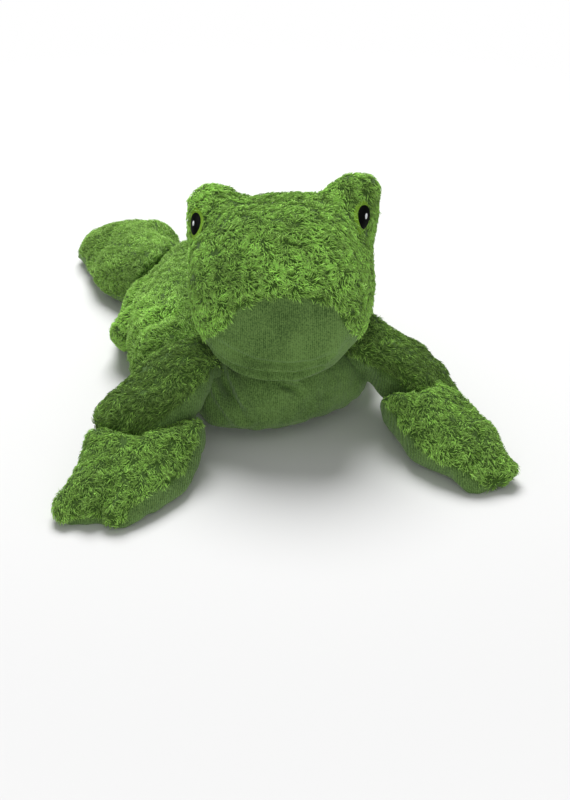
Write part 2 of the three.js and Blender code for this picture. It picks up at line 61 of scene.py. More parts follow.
Colour = Place = tuple[float, float, float]
Spot = Span = tuple[float, float]
Path = tuple[Spot, ...]

MM = 0.001
PHOTO_WIDTH, PHOTO_HEIGHT = 570, 800
SHEEN_ROUGHNESS = 0.5
CLOTH_GLOSS = 0.2
TINY = 1e-12
WELD = 1e-6


# Small tools of the sewing table


def select(*pieces: bpy.types.Object) -> None:
    """Select only these pieces and make the last one the active one.

    Args:
        pieces: The objects to work on.
    """
    bpy.ops.object.select_all(action="DESELECT")
    for piece in pieces:
        piece.select_set(True)
    bpy.context.view_layer.objects.active = pieces[-1]


@contextmanager
def edit_mode(action: str = "SELECT") -> Iterator[None]:
    """Work on the active piece in edit mode.

    Args:
        action: SELECT for all of its mesh, or DESELECT for none.

    Returns:
        Nothing while the work is done.
    """
    bpy.ops.object.mode_set(mode="EDIT")
    bpy.ops.mesh.select_all(action=action)
    yield
    bpy.ops.object.mode_set(mode="OBJECT")


def linked(name: str, data: bpy.types.ID) -> bpy.types.Object:
    """Make an object and put it in the scene.

    Args:
        name: The object's name.
        data: Its mesh, camera or lamp.

    Returns:
        The new object.
    """
    made = bpy.data.objects.new(name, data)
    bpy.context.scene.collection.objects.link(made)
    return made


def applied(piece: bpy.types.Object, kind: str, **settings: object) -> None:
    """Give a piece one modifier and apply it.

    Args:
        piece: The object to change.
        kind: The modifier's type.
        settings: The modifier's values by name.
    """
    select(piece)
    modifier = piece.modifiers.new(kind.lower(), kind)
    for name, value in settings.items():
        setattr(modifier, name, value)
    bpy.ops.object.modifier_apply(modifier=modifier.name)


def rows_of(items: bpy.types.bpy_prop_collection, name: str, kind: type, width: int) -> np.ndarray:
    """Read one value of each of a mesh's points, edges or triangles.

    Args:
        items: What is read.
        name: The value's name.
        kind: Its type.
        width: How many numbers it has.

    Returns:
        One row for each item.
    """
    flat = np.empty(len(items) * width, kind)
    items.foreach_get(name, flat)
    return flat.reshape(-1, width)


def points_of(mesh: bpy.types.Mesh) -> np.ndarray:
    """Read the places of a mesh's points."""
    return rows_of(mesh.vertices, "co", np.float64, 3)


def normals_of(mesh: bpy.types.Mesh) -> np.ndarray:
    """Read the unit directions that a mesh's points face."""
    return rows_of(mesh.vertex_normals, "vector", np.float64, 3)


def edges_of(mesh: bpy.types.Mesh) -> np.ndarray:
    """Read the numbers of each edge's points."""
    return rows_of(mesh.edges, "vertices", np.int32, 2)


def triangles_of(mesh: bpy.types.Mesh) -> np.ndarray:
    """Read the numbers of each triangle's points."""
    mesh.calc_loop_triangles()
    return rows_of(mesh.loop_triangles, "vertices", np.int32, 3)


def move_points(mesh: bpy.types.Mesh, points: np.ndarray) -> None:
    """Write the places of a mesh's points."""
    mesh.vertices.foreach_set("co", points.astype(np.float32).ravel())
    mesh.update()


def shade_smooth(mesh: bpy.types.Mesh) -> None:
    """Let light run over a mesh's faces as over one curved surface."""
    mesh.polygons.foreach_set("use_smooth", np.ones(len(mesh.polygons), bool))


def report(piece: bpy.types.Object) -> None:
    """Log a finished piece."""
    log.info("%s: %d triangles", piece.name, len(triangles_of(piece.data)))


def solid_points(name: str) -> np.ndarray:
    """Read the places of a solid's points in the frame."""
    turn = np.array(frame["nodes"][name].matrix_world)
    return points_of(frame["nodes"][name].data) @ turn[:3, :3].T + turn[:3, 3]


def surface_of(mesh: bpy.types.Mesh, points: np.ndarray) -> BVHTree:
    """Give a mesh's surface, with its points where they are said to be, to find places on it."""
    return BVHTree.FromPolygons(points.tolist(), triangles_of(mesh).tolist())


def inside(spot: Vector, surface: BVHTree) -> bool:
    """Find whether a place lies inside a closed surface.

    Args:
        spot: The place.
        surface: The surface.

    Returns:
        True if it lies inside.
    """
    crossed, most_crossings, step = 0, 12, 0.01 * MM
    way = Vector((0.021, 0.013, 1.0)).normalized()
    while crossed < most_crossings:
        hit = surface.ray_cast(spot, way)[0]
        if hit is None:
            break
        crossed += 1
        spot = hit + way * step
    return crossed % 2 == 1


def averaged(values: np.ndarray, edges: np.ndarray, rounds: int) -> np.ndarray:
    """Even out values over a mesh by moving each halfway to its neighbours' mean.

    Args:
        values: One row for each point.
        edges: The mesh's edges.
        rounds: How often it is done.

    Returns:
        The evened values.
    """
    count, (first, second) = len(values), edges.T
    degree = np.bincount(edges.ravel(), minlength=count).clip(1)[:, None]
    result = values.copy()
    for _ in range(rounds):
        total = [
            np.bincount(first, column[second], count) + np.bincount(second, column[first], count)
            for column in result.T
        ]
        result += (np.stack(total, axis=1) / degree - result) / 2
    return result


def eased(points: np.ndarray, edges: np.ndarray, rounds: int) -> np.ndarray:
    """Take the facets off a mesh's points and keep its size."""
    soft = averaged(points, edges, rounds)
    return soft + averaged(points - soft, edges, rounds)


def unit(rows: np.ndarray) -> np.ndarray:
    """Scale each row to length one."""
    return rows / np.linalg.norm(rows, axis=-1, keepdims=True).clip(TINY)


def smooth_step(values: np.ndarray, low: float, high: float) -> np.ndarray:
    """Turn values into a soft step from 0 at low to 1 at high."""
    share = np.clip((values - low) / (high - low), 0, 1)
    return share * share * (3 - 2 * share)


def nearness(places: np.ndarray, mark: np.ndarray, reach: float, power: int = 2) -> np.ndarray:
    """Give 1 at a mark and a share that falls softly to 0 round it, faster for a higher power."""
    return np.exp(-((np.linalg.norm(places - mark, axis=1) / reach) ** power))


@dataclass(frozen=True)
class WaveNoise:
    """Soft irregularity that is the same on each run, a sum of waves in many directions."""

    wavelength: float
    seed: int
    waves: int = 14
    stretch: Span = (0.6, 1.7)
    seed_step: int = 101

    def at(self, points: np.ndarray) -> np.ndarray:
        """Read the noise.

        Args:
            points: Places, one a row.

        Returns:
            A value of about -1 to 1 for each place.
        """
        source = np.random.default_rng(self.seed)
        ways = unit(source.normal(size=(self.waves, 3)))
        scales = source.uniform(*self.stretch, self.waves)
        phases = source.uniform(0, 2 * math.pi, self.waves)
        turns = points @ (ways * (scales * 2 * math.pi / self.wavelength)[:, None]).T + phases
        return np.sin(turns).sum(axis=1) / math.sqrt(self.waves)

    def vectors(self, points: np.ndarray) -> np.ndarray:
        """Read three independent noises at each place."""
        noises = [replace(self, seed=self.seed + self.seed_step * k) for k in range(3)]
        return np.stack([noise.at(points) for noise in noises], axis=1)


# The picture's view


@dataclass(frozen=True)
class PictureView:
    """The camera of the picture, which looks a little down on the frog's face."""

    azimuth: float = -10.0
    elevation: float = 30.0
    distance: float = 0.8
    target: Place = (0.008, -0.082, 0.015)
    lens: float = 72.0
    sensor: float = 36.0
    clip_start: float = 0.01

    @property
    def scale(self) -> float:
        """Give the pixels that a thing takes which is as large as it is far."""
        return self.lens / self.sensor * PHOTO_HEIGHT

    def axes(self) -> tuple[np.ndarray, np.ndarray, np.ndarray]:
        """Work out the camera's directions.

        Returns:
            The unit directions right, up and back.
        """
        turn, rise = math.radians(self.azimuth), math.radians(self.elevation)
        flat = math.cos(rise)
        right = np.array([math.cos(turn), math.sin(turn), 0.0])
        back = np.array([math.sin(turn) * flat, -math.cos(turn) * flat, math.sin(rise)])
        return right, np.cross(back, right), back

    def place(self) -> np.ndarray:
        """Work out where the camera stands."""
        return np.array(self.target) + self.axes()[2] * self.distance

    def seen(self, spot: Spot, surface: BVHTree) -> tuple[np.ndarray, np.ndarray]:
        """Find what of a surface the picture shows at a spot.

        Args:
            spot: Pixels from the picture's left side and from its top.
            surface: The surface.

        Returns:
            The place, endlessly far away if the surface isn't seen there, and the way it faces.
        """
        right, up, back = self.axes()
        across, rise = spot[0] - PHOTO_WIDTH / 2, PHOTO_HEIGHT / 2 - spot[1]
        way = unit(right * across + up * rise - back * self.scale)
        mark, facing, _, _ = surface.ray_cast(Vector(self.place()), Vector(way))
        if mark is None:
            log.warning("the picture shows nothing of a cover at %s", spot)
            return np.full(3, np.inf), np.zeros(3)
        return np.array(mark), np.array(facing)

    def pixels(self, points: np.ndarray) -> np.ndarray:
        """Find where the picture shows places.

        Args:
            points: Places, one a row.

        Returns:
            One row of pixels from the left and from the top for each place.
        """
        right, up, back = self.axes()
        away = points - self.place()
        scale = self.scale / -(away @ back)
        across, rise = away @ right * scale, away @ up * scale
        return np.stack([PHOTO_WIDTH / 2 + across, PHOTO_HEIGHT / 2 - rise], axis=1)

    def build(self) -> None:
        """Make the camera and give it to the scene."""
        data = bpy.data.cameras.new("picture_camera")
        data.lens = self.lens
        data.sensor_width = self.sensor
        data.clip_start = self.clip_start
        camera = linked("picture_camera", data)
        camera.location = Vector(self.place())
        camera.rotation_euler = Vector(self.axes()[2]).to_track_quat("Z", "Y").to_euler()
        bpy.context.scene.camera = camera


VIEW = PictureView()


# Shader maths


class Socket:
    """A value in a finish's node tree, on which Python's operators work."""

    def __init__(self, recipe: "Recipe", link: bpy.types.NodeSocket) -> None:
        """Wrap one output socket."""
        self.recipe = recipe
        self.link = link

    def _math(self, operation: str, *values: object) -> "Socket":
        """Add a Math node of one operation."""
        return self.recipe.node("ShaderNodeMath", {"operation": operation}, dict(enumerate(values)))

    def __add__(self, other: object) -> "Socket":
        """Add."""
        return self._math("ADD", self, other)

    def __radd__(self, other: object) -> "Socket":
        """Add, reflected."""
        return self._math("ADD", other, self)

    def __sub__(self, other: object) -> "Socket":
        """Subtract."""
        return self._math("SUBTRACT", self, other)

    def __rsub__(self, other: object) -> "Socket":
        """Subtract, reflected."""
        return self._math("SUBTRACT", other, self)

    def __mul__(self, other: object) -> "Socket":
        """Multiply."""
        return self._math("MULTIPLY", self, other)

    def __rmul__(self, other: object) -> "Socket":
        """Multiply, reflected."""
        return self._math("MULTIPLY", other, self)

    def ribs(self, apart: float, drift: object = 0.0) -> "Socket":
        """Turn a distance into ribs of 0 to 1 that lie so far apart, shifted by a drift."""
        return self._math("SINE", self * (2 * math.pi / apart) + drift) * 0.5 + 0.5

    def held(self) -> "Socket":
        """Hold between 0 and 1."""
        return self.recipe.node("ShaderNodeClamp", {}, {0: self})


class Recipe:
    """The node tree of one finish, or of the light all round."""

    def __init__(self, owner: bpy.types.Material | bpy.types.World) -> None:
        """Start an empty tree.

        Args:
            owner: The new material or world.
        """
        self.owner = owner
        self.owner.use_nodes = True
        self.tree = self.owner.node_tree
        self.tree.nodes.clear()

    def node(self, kind: str, settings: dict, inputs: dict, output: object = 0) -> Socket | None:
        """Add one node.

        Args:
            kind: The node's type.
            settings: Values of the node itself; "stops" are a ramp's places and colours.
            inputs: Values or links of its sockets, by name or number.
            output: Which output is wanted.

        Returns:
            The wanted output, if the node has outputs.
        """
        made = self.tree.nodes.new(kind)
        for name, value in settings.items():
            if name == "stops":
                self._set_stops(made.color_ramp, value)
            else:
                setattr(made, name, value)
        for name, value in inputs.items():
            if isinstance(value, Socket):
                self.tree.links.new(value.link, made.inputs[name])
            else:
                made.inputs[name].default_value = value
        return Socket(self, made.outputs[output]) if made.outputs else None

    def _set_stops(self, ramp: bpy.types.ColorRamp, stops: tuple) -> None:
        """Give a ramp its stops.

        Args:
            ramp: The ramp.
            stops: A place and a colour for each stop.
        """
        while len(ramp.elements) < len(stops):
            ramp.elements.new(0.5)
        for element, (place, colour) in zip(ramp.elements, stops):
            element.position = place
            element.color = opaque(colour)

    def place(self) -> Socket:
        """Give the place on the piece, in metres."""
        return self.node("ShaderNodeTexCoord", {}, {}, "Object")

    def marked(self, name: str) -> Socket:
        """Give a number that a cover's points carry."""
        return self.node("ShaderNodeAttribute", {"attribute_name": name}, {}, "Fac")

    def chart(self, name: str) -> tuple[Socket, Socket]:
        """Give where a place lies across and along a map."""
        return self.parts(self.node("ShaderNodeUVMap", {"uv_map": name}, {}))[:2]

    def parts(self, vector: Socket) -> tuple[Socket, Socket, Socket]:
        """Split a vector into its three numbers."""
        split = self.node("ShaderNodeSeparateXYZ", {}, {0: vector}).link.node
        return tuple(Socket(self, output) for output in split.outputs)

    def noise(self, place: Socket, cells: float, detail: float = 2.0, rough: float = 0.5) -> Socket:
        """Give soft noise of 0 to 1, with so many cells in a metre and finer layers on them."""
        inputs = {"Vector": place, "Scale": cells, "Detail": detail, "Roughness": rough}
        return self.node("ShaderNodeTexNoise", {}, inputs)

    def blend(self, share: object, first: object, second: object, way: str = "MIX") -> Socket:
        """Mix a share of a second colour into a first one."""
        settings = {"data_type": "RGBA", "blend_type": way}
        return self.node("ShaderNodeMix", settings, {0: share, 6: first, 7: second}, 2)

    def grey(self, value: Socket) -> Socket:
        """Turn a number into a grey colour."""
        return self.node("ShaderNodeCombineColor", {}, {0: value, 1: value, 2: value})

    def bump(self, height: Socket, depth: float, strength: float) -> Socket:
        """Turn heights, as shares of a depth, into a bumped normal."""
        inputs = {"Height": height, "Distance": depth, "Strength": strength}
        return self.node("ShaderNodeBump", {}, inputs)

    def finish(self, **sockets: object) -> bpy.types.Material:
        """End the tree in one surface shader.

        Args:
            sockets: The shader's values by socket name, with _ for a space.

        Returns:
            The finished material.
        """
        inputs = {name.replace("_", " "): value for name, value in sockets.items()}
        shader = self.node("ShaderNodeBsdfPrincipled", {}, inputs)
        self.node("ShaderNodeOutputMaterial", {}, {"Surface": shader})
        return self.owner


def opaque(colour: Colour) -> tuple[float, float, float, float]:
    """Give a colour its fourth number."""
    return (*colour, 1.0)


@dataclass(frozen=True)
class PileFinish:
    """Green curly pile, with shade painted dark at the tufts' roots between them and light painted
    bright at their tips.
    """

    # the ramp from root to tip is painted shade at the dark roots and painted light at the bright
    # tips, over the tufts' own green
    root: Colour = (0.045, 0.110, 0.010)
    middle: Colour = (0.315, 0.590, 0.095)
    tip: Colour = (0.500, 0.835, 0.215)
    darkest: float = 0.36
    lightest: float = 1.72
    rough: float = 0.78
    rougher_tip: float = 0.1
    sheen: float = 0.12
    sheen_tint: Colour = (0.75, 1.0, 0.55)

    def make(self) -> bpy.types.Material:
        """Write the finish, which reads each tuft's own strip of the map.

        Returns:
            The finished material.
        """
        recipe = Recipe(bpy.data.materials.new("green_pile"))
        across, along = recipe.chart(Pile.chart)
        # painted shade at the dark roots, painted light at the bright tips
        stops = ((0.0, self.root), (0.5, self.middle), (1.0, self.tip))
        shade = recipe.node("ShaderNodeValToRGB", {"stops": stops}, {0: along})
        level = across * (self.lightest - self.darkest) + self.darkest
        return recipe.finish(
            Base_Color=recipe.blend(1.0, shade, recipe.grey(level), "MULTIPLY"),
            Roughness=self.rough + self.rougher_tip * along,
            Sheen_Weight=self.sheen,
            Sheen_Roughness=SHEEN_ROUGHNESS,
            Sheen_Tint=opaque(self.sheen_tint),
            Specular_IOR_Level=CLOTH_GLOSS,
        )


@dataclass(frozen=True)
class VelourFinish:
    """Green knit velour with fine wales, and the ground that the pile stands on, painted dark as
    the shade between the tufts.
    """

    dark: Colour = (0.042, 0.092, 0.017)
    light: Colour = (0.175, 0.310, 0.080)
    # the ground's dark colour is painted shade between the tufts, on the backing's own green
    ground: Colour = (0.052, 0.118, 0.013)
    wale: float = 0.95 * MM
    course: float = 0.7 * MM
    slant: float = 0.6
    depth: float = 0.5 * MM
    drift_cells: float = 90.0
    drift: float = 2.4
    nap_cells: float = 1250.0
    cloud_cells: float = 75.0
    fineness: float = 0.6
    nap_tone: float = 2.6
    cloud_tone: float = 1.1
    wale_tone: float = 0.36
    course_tone: float = 0.3
    middle_tone: float = 0.52
    heights: Place = (0.5, 0.2, 0.7)
    bumped: float = 0.8
    rough: float = 0.82
    rougher_nap: float = 0.12
    sheen: float = 0.28
    sheen_tint: Colour = (0.75, 1.0, 0.6)

    def make(self) -> bpy.types.Material:
        """Write the finish, which reads a cover's share of pile and the light and shade painted on
        it.

        Returns:
            The finished material.
        """
        recipe = Recipe(bpy.data.materials.new("green_velour"))
        place = recipe.place()
        x, y, z = recipe.parts(place)
        drift = recipe.noise(place, self.drift_cells) * self.drift
        wales = x.ribs(self.wale, drift)
        courses = (z + y * self.slant).ribs(self.course, drift)
        nap = recipe.noise(place, self.nap_cells, 3.0, self.fineness)
        cloudy = recipe.noise(place, self.cloud_cells, 3.0, self.fineness)
        weave = (wales - 0.5) * self.wale_tone + (courses - 0.5) * self.course_tone
        wear = (nap - 0.5) * self.nap_tone + (cloudy - 0.5) * self.cloud_tone
        # the light and shade painted on each cover brighten or darken the velour's colour by a
        # share
        share = (weave + wear + recipe.marked("brushed") + self.middle_tone).held()
        cloth = recipe.blend(share, opaque(self.dark), opaque(self.light))
        pile = recipe.marked("pile_share").held()
        wale_height, course_height, nap_height = self.heights
        height = wales * wale_height + courses * course_height + nap * nap_height
        return recipe.finish(
            # where the pile stands, the colour is the ground's painted shade
            Base_Color=recipe.blend(pile, cloth, opaque(self.ground)),
            Roughness=self.rough + self.rougher_nap * nap,
            Normal=recipe.bump(height, self.depth, self.bumped),
            Sheen_Weight=self.sheen,
            Sheen_Roughness=SHEEN_ROUGHNESS,
            Sheen_Tint=opaque(self.sheen_tint),
            Specular_IOR_Level=CLOTH_GLOSS,
        )


@dataclass(frozen=True)
class ThreadFinish:
    """Embroidery thread laid in close parallel rows."""

    name: str
    dark: Colour
    light: Colour
    rough: float = 0.5
    uneven_rough: float = 0.15
    gloss: float = 0.15
    row: float = 0.42 * MM
    twist: float = 0.378 * MM
    twist_share: float = 0.2
    depth: float = 0.12 * MM
    bumped: float = 0.7
    uneven_cells: float = 700.0
    drift: float = 1.6

    def make(self) -> bpy.types.Material:
        """Write the finish, which reads the patch's own map in metres.

        Returns:
            The finished material.
        """
        recipe = Recipe(bpy.data.materials.new(self.name))
        across, along = recipe.chart(EyePatch.chart)
        uneven = recipe.noise(recipe.place(), self.uneven_cells)
        rows = along.ribs(self.row, uneven * self.drift)
        twist = (across + along).ribs(self.twist)
        stitches = rows * (1 - self.twist_share) + twist * self.twist_share
        return recipe.finish(
            Base_Color=recipe.blend(stitches, opaque(self.dark), opaque(self.light)),
            Roughness=self.rough + self.uneven_rough * uneven,
            Normal=recipe.bump(stitches, self.depth, self.bumped),
            Specular_IOR_Level=self.gloss,
        )


@dataclass(frozen=True)
class PaperFinish:
    """The white paper that the frog lies on, which fades into the white around it."""

    tone: Colour = (0.84, 0.84, 0.84)
    fleck: Colour = (0.82, 0.82, 0.82)
    flecks: float = 0.02
    fleck_cells: float = 400.0
    fade: Span = (0.24, 0.55)
    rough: float = 0.9
    rougher_fleck: float = 0.05
    gloss: float = 0.1

    def make(self) -> bpy.types.Material:
        """Write the finish.

        Returns:
            The finished material.
        """
        recipe = Recipe(bpy.data.materials.new("white_paper"))
        place = recipe.place()
        grain = recipe.noise(place, self.fleck_cells)
        away = recipe.node("ShaderNodeVectorMath", {"operation": "LENGTH"}, {0: place}, "Value")
        limits = {"From Min": self.fade[0], "From Max": self.fade[1], "To Min": 1.0, "To Max": 0.0}
        smooth = {"interpolation_type": "SMOOTHSTEP"}
        return recipe.finish(
            Base_Color=recipe.blend(grain * self.flecks, opaque(self.tone), opaque(self.fleck)),
            Roughness=self.rough + self.rougher_fleck * grain,
            Alpha=recipe.node("ShaderNodeMapRange", smooth, {"Value": away, **limits}),
            Specular_IOR_Level=self.gloss,
        )


# What shapes and colours a cover


class Skin(NamedTuple):
    """A cover's shape: its points, the ways that they face, and its surface."""

    points: np.ndarray
    normals: np.ndarray
    surface: BVHTree


@dataclass(frozen=True)
class Plug:
    """A hidden round of cloth at a joint, which keeps a limb sewn on when it moves."""

    centre: Place
    radii: Place

    def build(self) -> bpy.types.Object:
        """Model the plug.

        Returns:
            The new object, in its place.
        """
        bpy.ops.mesh.primitive_ico_sphere_add(subdivisions=4, radius=1.0, location=self.centre)
        plug = bpy.context.object
        plug.scale = self.radii
        bpy.ops.object.transform_apply(location=True, rotation=True, scale=True)
        return plug


@dataclass(frozen=True)
class Fold:
    """A fold or seam that the picture shows, pressed into a cover along its path."""

    path: Path
    depth: float
    width: float
    lip: float
    lip_away: float = 2.1
    ends: Span = (0.04, 0.96)

    def moved(self, skin: Skin) -> np.ndarray:
        """Work out how the fold moves a cover.

        Args:
            skin: The cover's shape.

        Returns:
            How each point moves.
        """
        points = skin.points
        marks = np.array([VIEW.seen(spot, skin.surface)[0] for spot in self.path])
        marks = marks[np.isfinite(marks).all(axis=1)]
        near = np.full(len(points), np.inf)
        passed = np.zeros(len(points))
        for k, (mark, run) in enumerate(zip(marks, np.diff(marks, axis=0))):
            share = np.clip((points - mark) @ run / (run @ run), 0, 1)
            gap = np.linalg.norm(points - mark - share[:, None] * run, axis=1)
            closer = gap < near
            near[closer] = gap[closer]
            passed[closer] = ((k + share) / (len(marks) - 1))[closer]
        ends = np.sin(np.pi * np.clip(passed, *self.ends)) ** 0.5
        groove = -np.exp(-((near / self.width) ** 2))
        lips = self.lip * np.exp(-(((near - self.lip_away * self.width) / self.width) ** 2))
        return skin.normals * (self.depth * ends * (groove + lips))[:, None]


@dataclass(frozen=True)
class Nudge:
    """A soft push that brings a cover's outline to the one in the picture."""

    spot: Spot
    way: Spot
    amount: float
    reach: float

    def moved(self, skin: Skin) -> np.ndarray:
        """Work out how the push moves a cover.

        Args:
            skin: The cover's shape.

        Returns:
            How each point moves.
        """
        right, up, _ = VIEW.axes()
        way = unit(right * self.way[0] - up * self.way[1])
        mark, _ = VIEW.seen(self.spot, skin.surface)
        return way * (self.amount * nearness(skin.points, mark, self.reach))[:, None]


@dataclass(frozen=True)
class Mound:
    """A soft swelling of a cover, such as the padding under an eye."""

    spot: Spot
    amount: float
    reach: float

    def moved(self, skin: Skin) -> np.ndarray:
        """Work out how the swelling moves a cover.

        Args:
            skin: The cover's shape.

        Returns:
            How each point moves.
        """
        mark, facing = VIEW.seen(self.spot, skin.surface)
        alike = np.clip(skin.normals @ facing * 2, 0, 1)
        near = nearness(skin.points, mark, self.reach, 4)
        return skin.normals * (self.amount * alike * near)[:, None]


@dataclass(frozen=True)
class Shade:
    """A patch where pile or velour is painted brighter or darker than the rest, as painted light
    and painted shade that the picture shows.
    """

    spot: Spot
    amount: float
    reach: float

    def at(self, places: np.ndarray) -> np.ndarray:
        """Work out how much the tones at places change by it."""
        return self.amount * nearness(VIEW.pixels(places), np.array(self.spot), self.reach)


@dataclass(frozen=True)
class PictureSeam:
    """A seam that the picture shows, with pile above it and velour below."""

    path: Path
    reach: float
    round_edge: bool
    edge: float = 1.2

    def correct(self, share: np.ndarray, points: np.ndarray, normals: np.ndarray) -> np.ndarray:
        """Move the seam of a cover to where the picture shows it.

        Args:
            share: The share of pile at each place by the panels alone.
            points: The places on the cover.
            normals: The directions they face.

        Returns:
            The corrected shares.
        """
        (x, y), (line_x, line_y) = VIEW.pixels(points).T, np.array(self.path).T
        above = np.interp(x, line_x, line_y) - y
        faced = ((VIEW.place() - points) * normals).sum(axis=1) > 0
        near = (x > line_x[0]) & (x < line_x[-1]) & (np.abs(above) < self.reach)
        pile = smooth_step(above, -self.edge, self.edge)
        behind = np.minimum(share, pile) if self.round_edge else share
        return np.where(near, np.where(faced, pile, behind), share)


@dataclass(frozen=True)
class Likeness:
    """What makes one cover like the one in the picture, with the plugs that keep it sewn on."""

    plugs: tuple[Plug, ...] = ()
    nudges: tuple[Nudge, ...] = ()
    mounds: tuple[Mound, ...] = ()
    folds: tuple[Fold, ...] = ()
    # painted light and painted shade: on the velour in shares of its light colour, on the pile in
    # strips of its map
    brushed: tuple[Shade, ...] = ()
    painted_shades: tuple[Shade, ...] = ()
    seam: PictureSeam | None = None


# Sewn covers


class Solids(NamedTuple):
    """The names of the solids that one body is sewn from."""

    pile: str
    velour: str
    filling: str


@dataclass(frozen=True)
class Bend:
    """Where a cover would turn softly from its own body to the next; a cover with one is only kept
    in place, attached to no body.
    """

    body: str
    start: Place
    end: Place


@dataclass
class SoftBody:
    """One stuffed body of the frog, sewn from its panels over its filling."""

    name: str
    body: str
    solids: Solids
    easing: int
    fill: float
    seed: int
    likeness: Likeness
    voxel: float = 4.2 * MM
    levels: int = 1
    pile_inset: float = 0.9 * MM
    velour_inset: float = 0.2 * MM
    pile_reach: float = 0.0
    seam_edge: float = 0.6 * MM
    seam_rounds: int = 4
    pressure: float = 4.0
    frames: int = 20
    swell: float = 2.2 * MM
    sag: float = 0.5 * MM
    slack: tuple[Span, Span] = ((26 * MM, 0.6), (11 * MM, 0.4))
    floor_gap: float = 0.05 * MM
    bend: Bend | None = None
    cover: bpy.types.Object = field(default=None, init=False)

    def sew(self, velour: bpy.types.Material) -> None:
        """Make the closed cover.

        Args:
            velour: The cloth that it is sewn from.
        """
        self.cover = self._gathered()
        applied(self.cover, "REMESH", mode="VOXEL", voxel_size=self.voxel)
        self._keep_outside()
        mesh = self.cover.data
        move_points(mesh, eased(points_of(mesh), edges_of(mesh), self.easing))
        self._stuff()
        for _ in range(self.levels):
            applied(self.cover, "SUBSURF", levels=1, render_levels=1)
        self._shape()
        self._mark()
        self._rest_on_floor()
        shade_smooth(mesh)
        mesh.materials.append(velour)
        self._hand_over()
        report(self.cover)

    def _gathered(self) -> bpy.types.Object:
        """Join copies of the body's solids and its plugs.

        Returns:
            The joined object.
        """
        parts = [plug.build() for plug in self.likeness.plugs]
        for name in self.solids:
            node = frame["nodes"][name]
            copy = linked(f"{self.name}_{name}", node.data.copy())
            copy.data.transform(node.matrix_world)
            parts.append(copy)
        select(*parts)
        bpy.ops.object.join()
        cover = bpy.context.object
        cover.name = cover.data.name = f"{self.name}_cover"
        cover.data.materials.clear()
        with edit_mode():
            bpy.ops.mesh.remove_doubles(threshold=WELD)
        return cover

    def _keep_outside(self) -> None:
        """Delete what the remeshing leaves inside the cover."""
        mesh = self.cover.data
        edges = edges_of(mesh)
        group, before = np.arange(len(mesh.vertices)), None
        while before is None or (group != before).any():
            before = group.copy()
            least = group[edges].min(axis=1)
            np.minimum.at(group, edges[:, 0], least)
            np.minimum.at(group, edges[:, 1], least)
            group = group[group]
        names, sizes = np.unique(group, return_counts=True)
        if len(names) == 1:
            return
        select(self.cover)
        with edit_mode("DESELECT"):
            bpy.ops.object.mode_set(mode="OBJECT")
            mesh.vertices.foreach_set("select", group != names[sizes.argmax()])
            bpy.ops.object.mode_set(mode="EDIT")
            bpy.ops.mesh.delete(type="VERT")

    def _stuff(self) -> None:
        """Blow the cover up a little as cloth, so that it fills out between its seams."""
        mesh, scene = self.cover.data, bpy.context.scene
        before = points_of(mesh)
        select(self.cover)
        cloth = self.cover.modifiers.new("stuffing", "CLOTH")
        cloth.settings.use_pressure = True
        cloth.settings.uniform_pressure_force = self.pressure
        cloth.settings.effector_weights.gravity = 0.0
        cloth.point_cache.frame_start = 1
        cloth.point_cache.frame_end = self.frames
        for step in range(1, self.frames + 1):
            scene.frame_set(step)
        bpy.ops.object.modifier_apply(modifier=cloth.name)
        scene.frame_set(1)
        moved = points_of(mesh) - before
        moved -= moved.mean(axis=0)
        length = np.linalg.norm(moved, axis=1, keepdims=True).clip(TINY)
        moved = moved / length * np.minimum(length, self.swell)
        move_points(mesh, before)
        facing = normals_of(mesh)
        moved -= facing * (moved * facing).sum(axis=1).mean()
        move_points(mesh, before + moved)

    def _shape(self) -> None:
        """Leave room for the pile, and press the slack and what the picture shows in."""
        mesh = self.cover.data
        points, normals = points_of(mesh), normals_of(mesh)
        pile = self._pile_share(points, normals)[:, None]
        pile = averaged(pile, edges_of(mesh), self.seam_rounds)
        inset = self.velour_inset + (self.pile_inset - self.velour_inset) * pile
        points = points - normals * inset
        slack = sum(
            WaveNoise(size, self.seed + 7 * k).at(points) * share
            for k, (size, share) in enumerate(self.slack)
        )
        points = points + normals * (slack * self.sag)[:, None]
        move_points(mesh, points)
        likeness = self.likeness
        for pushes in (likeness.nudges, likeness.mounds, likeness.folds):
            skin = Skin(points, normals_of(mesh), self.surface())
            points = points + sum(push.moved(skin) for push in pushes)
            move_points(mesh, points)

    def _pile_share(self, points: np.ndarray, normals: np.ndarray) -> np.ndarray:
        """Find which places lie on the pile panel.

        Args:
            points: Places on the cover.
            normals: The directions they face.

        Returns:
            1 on the pile panel, 0 on the velour one, and a short step between them.
        """
        gaps = []
        for name in (self.solids.velour, self.solids.pile):
            panel = surface_of(frame["nodes"][name].data, solid_points(name))
            gaps.append(np.array([panel.find_nearest(Vector(point))[3] for point in points]))
        nearer = gaps[0] - gaps[1] + self.pile_reach
        share = smooth_step(nearer, -self.seam_edge, self.seam_edge)
        seam = self.likeness.seam
        return share if seam is None else seam.correct(share, points, normals)

    def _mark(self) -> None:
        """Write each point's share of pile, and the light and shade painted on it, for the cover's
        finish.
        """
        mesh = self.cover.data
        points = points_of(mesh)
        # light and shade painted on the cover, in shares of the velour's light colour
        brushed = sum((one.at(points) for one in self.likeness.brushed), np.zeros(len(points)))
        marks = {"pile_share": self._pile_share(points, normals_of(mesh)), "brushed": brushed}
        for name, values in marks.items():
            attribute = mesh.attributes.new(name, "FLOAT", "POINT")
            attribute.data.foreach_set("value", values.astype(np.float32))

    def _rest_on_floor(self) -> None:
        """Lay flat what would reach through the floor."""
        points = points_of(self.cover.data)
        points[:, 2] = np.maximum(points[:, 2], self.floor_gap)
        move_points(self.cover.data, points)

    def surface(self) -> BVHTree:
        """Give the cover's surface, to find places on it."""
        return surface_of(self.cover.data, points_of(self.cover.data))

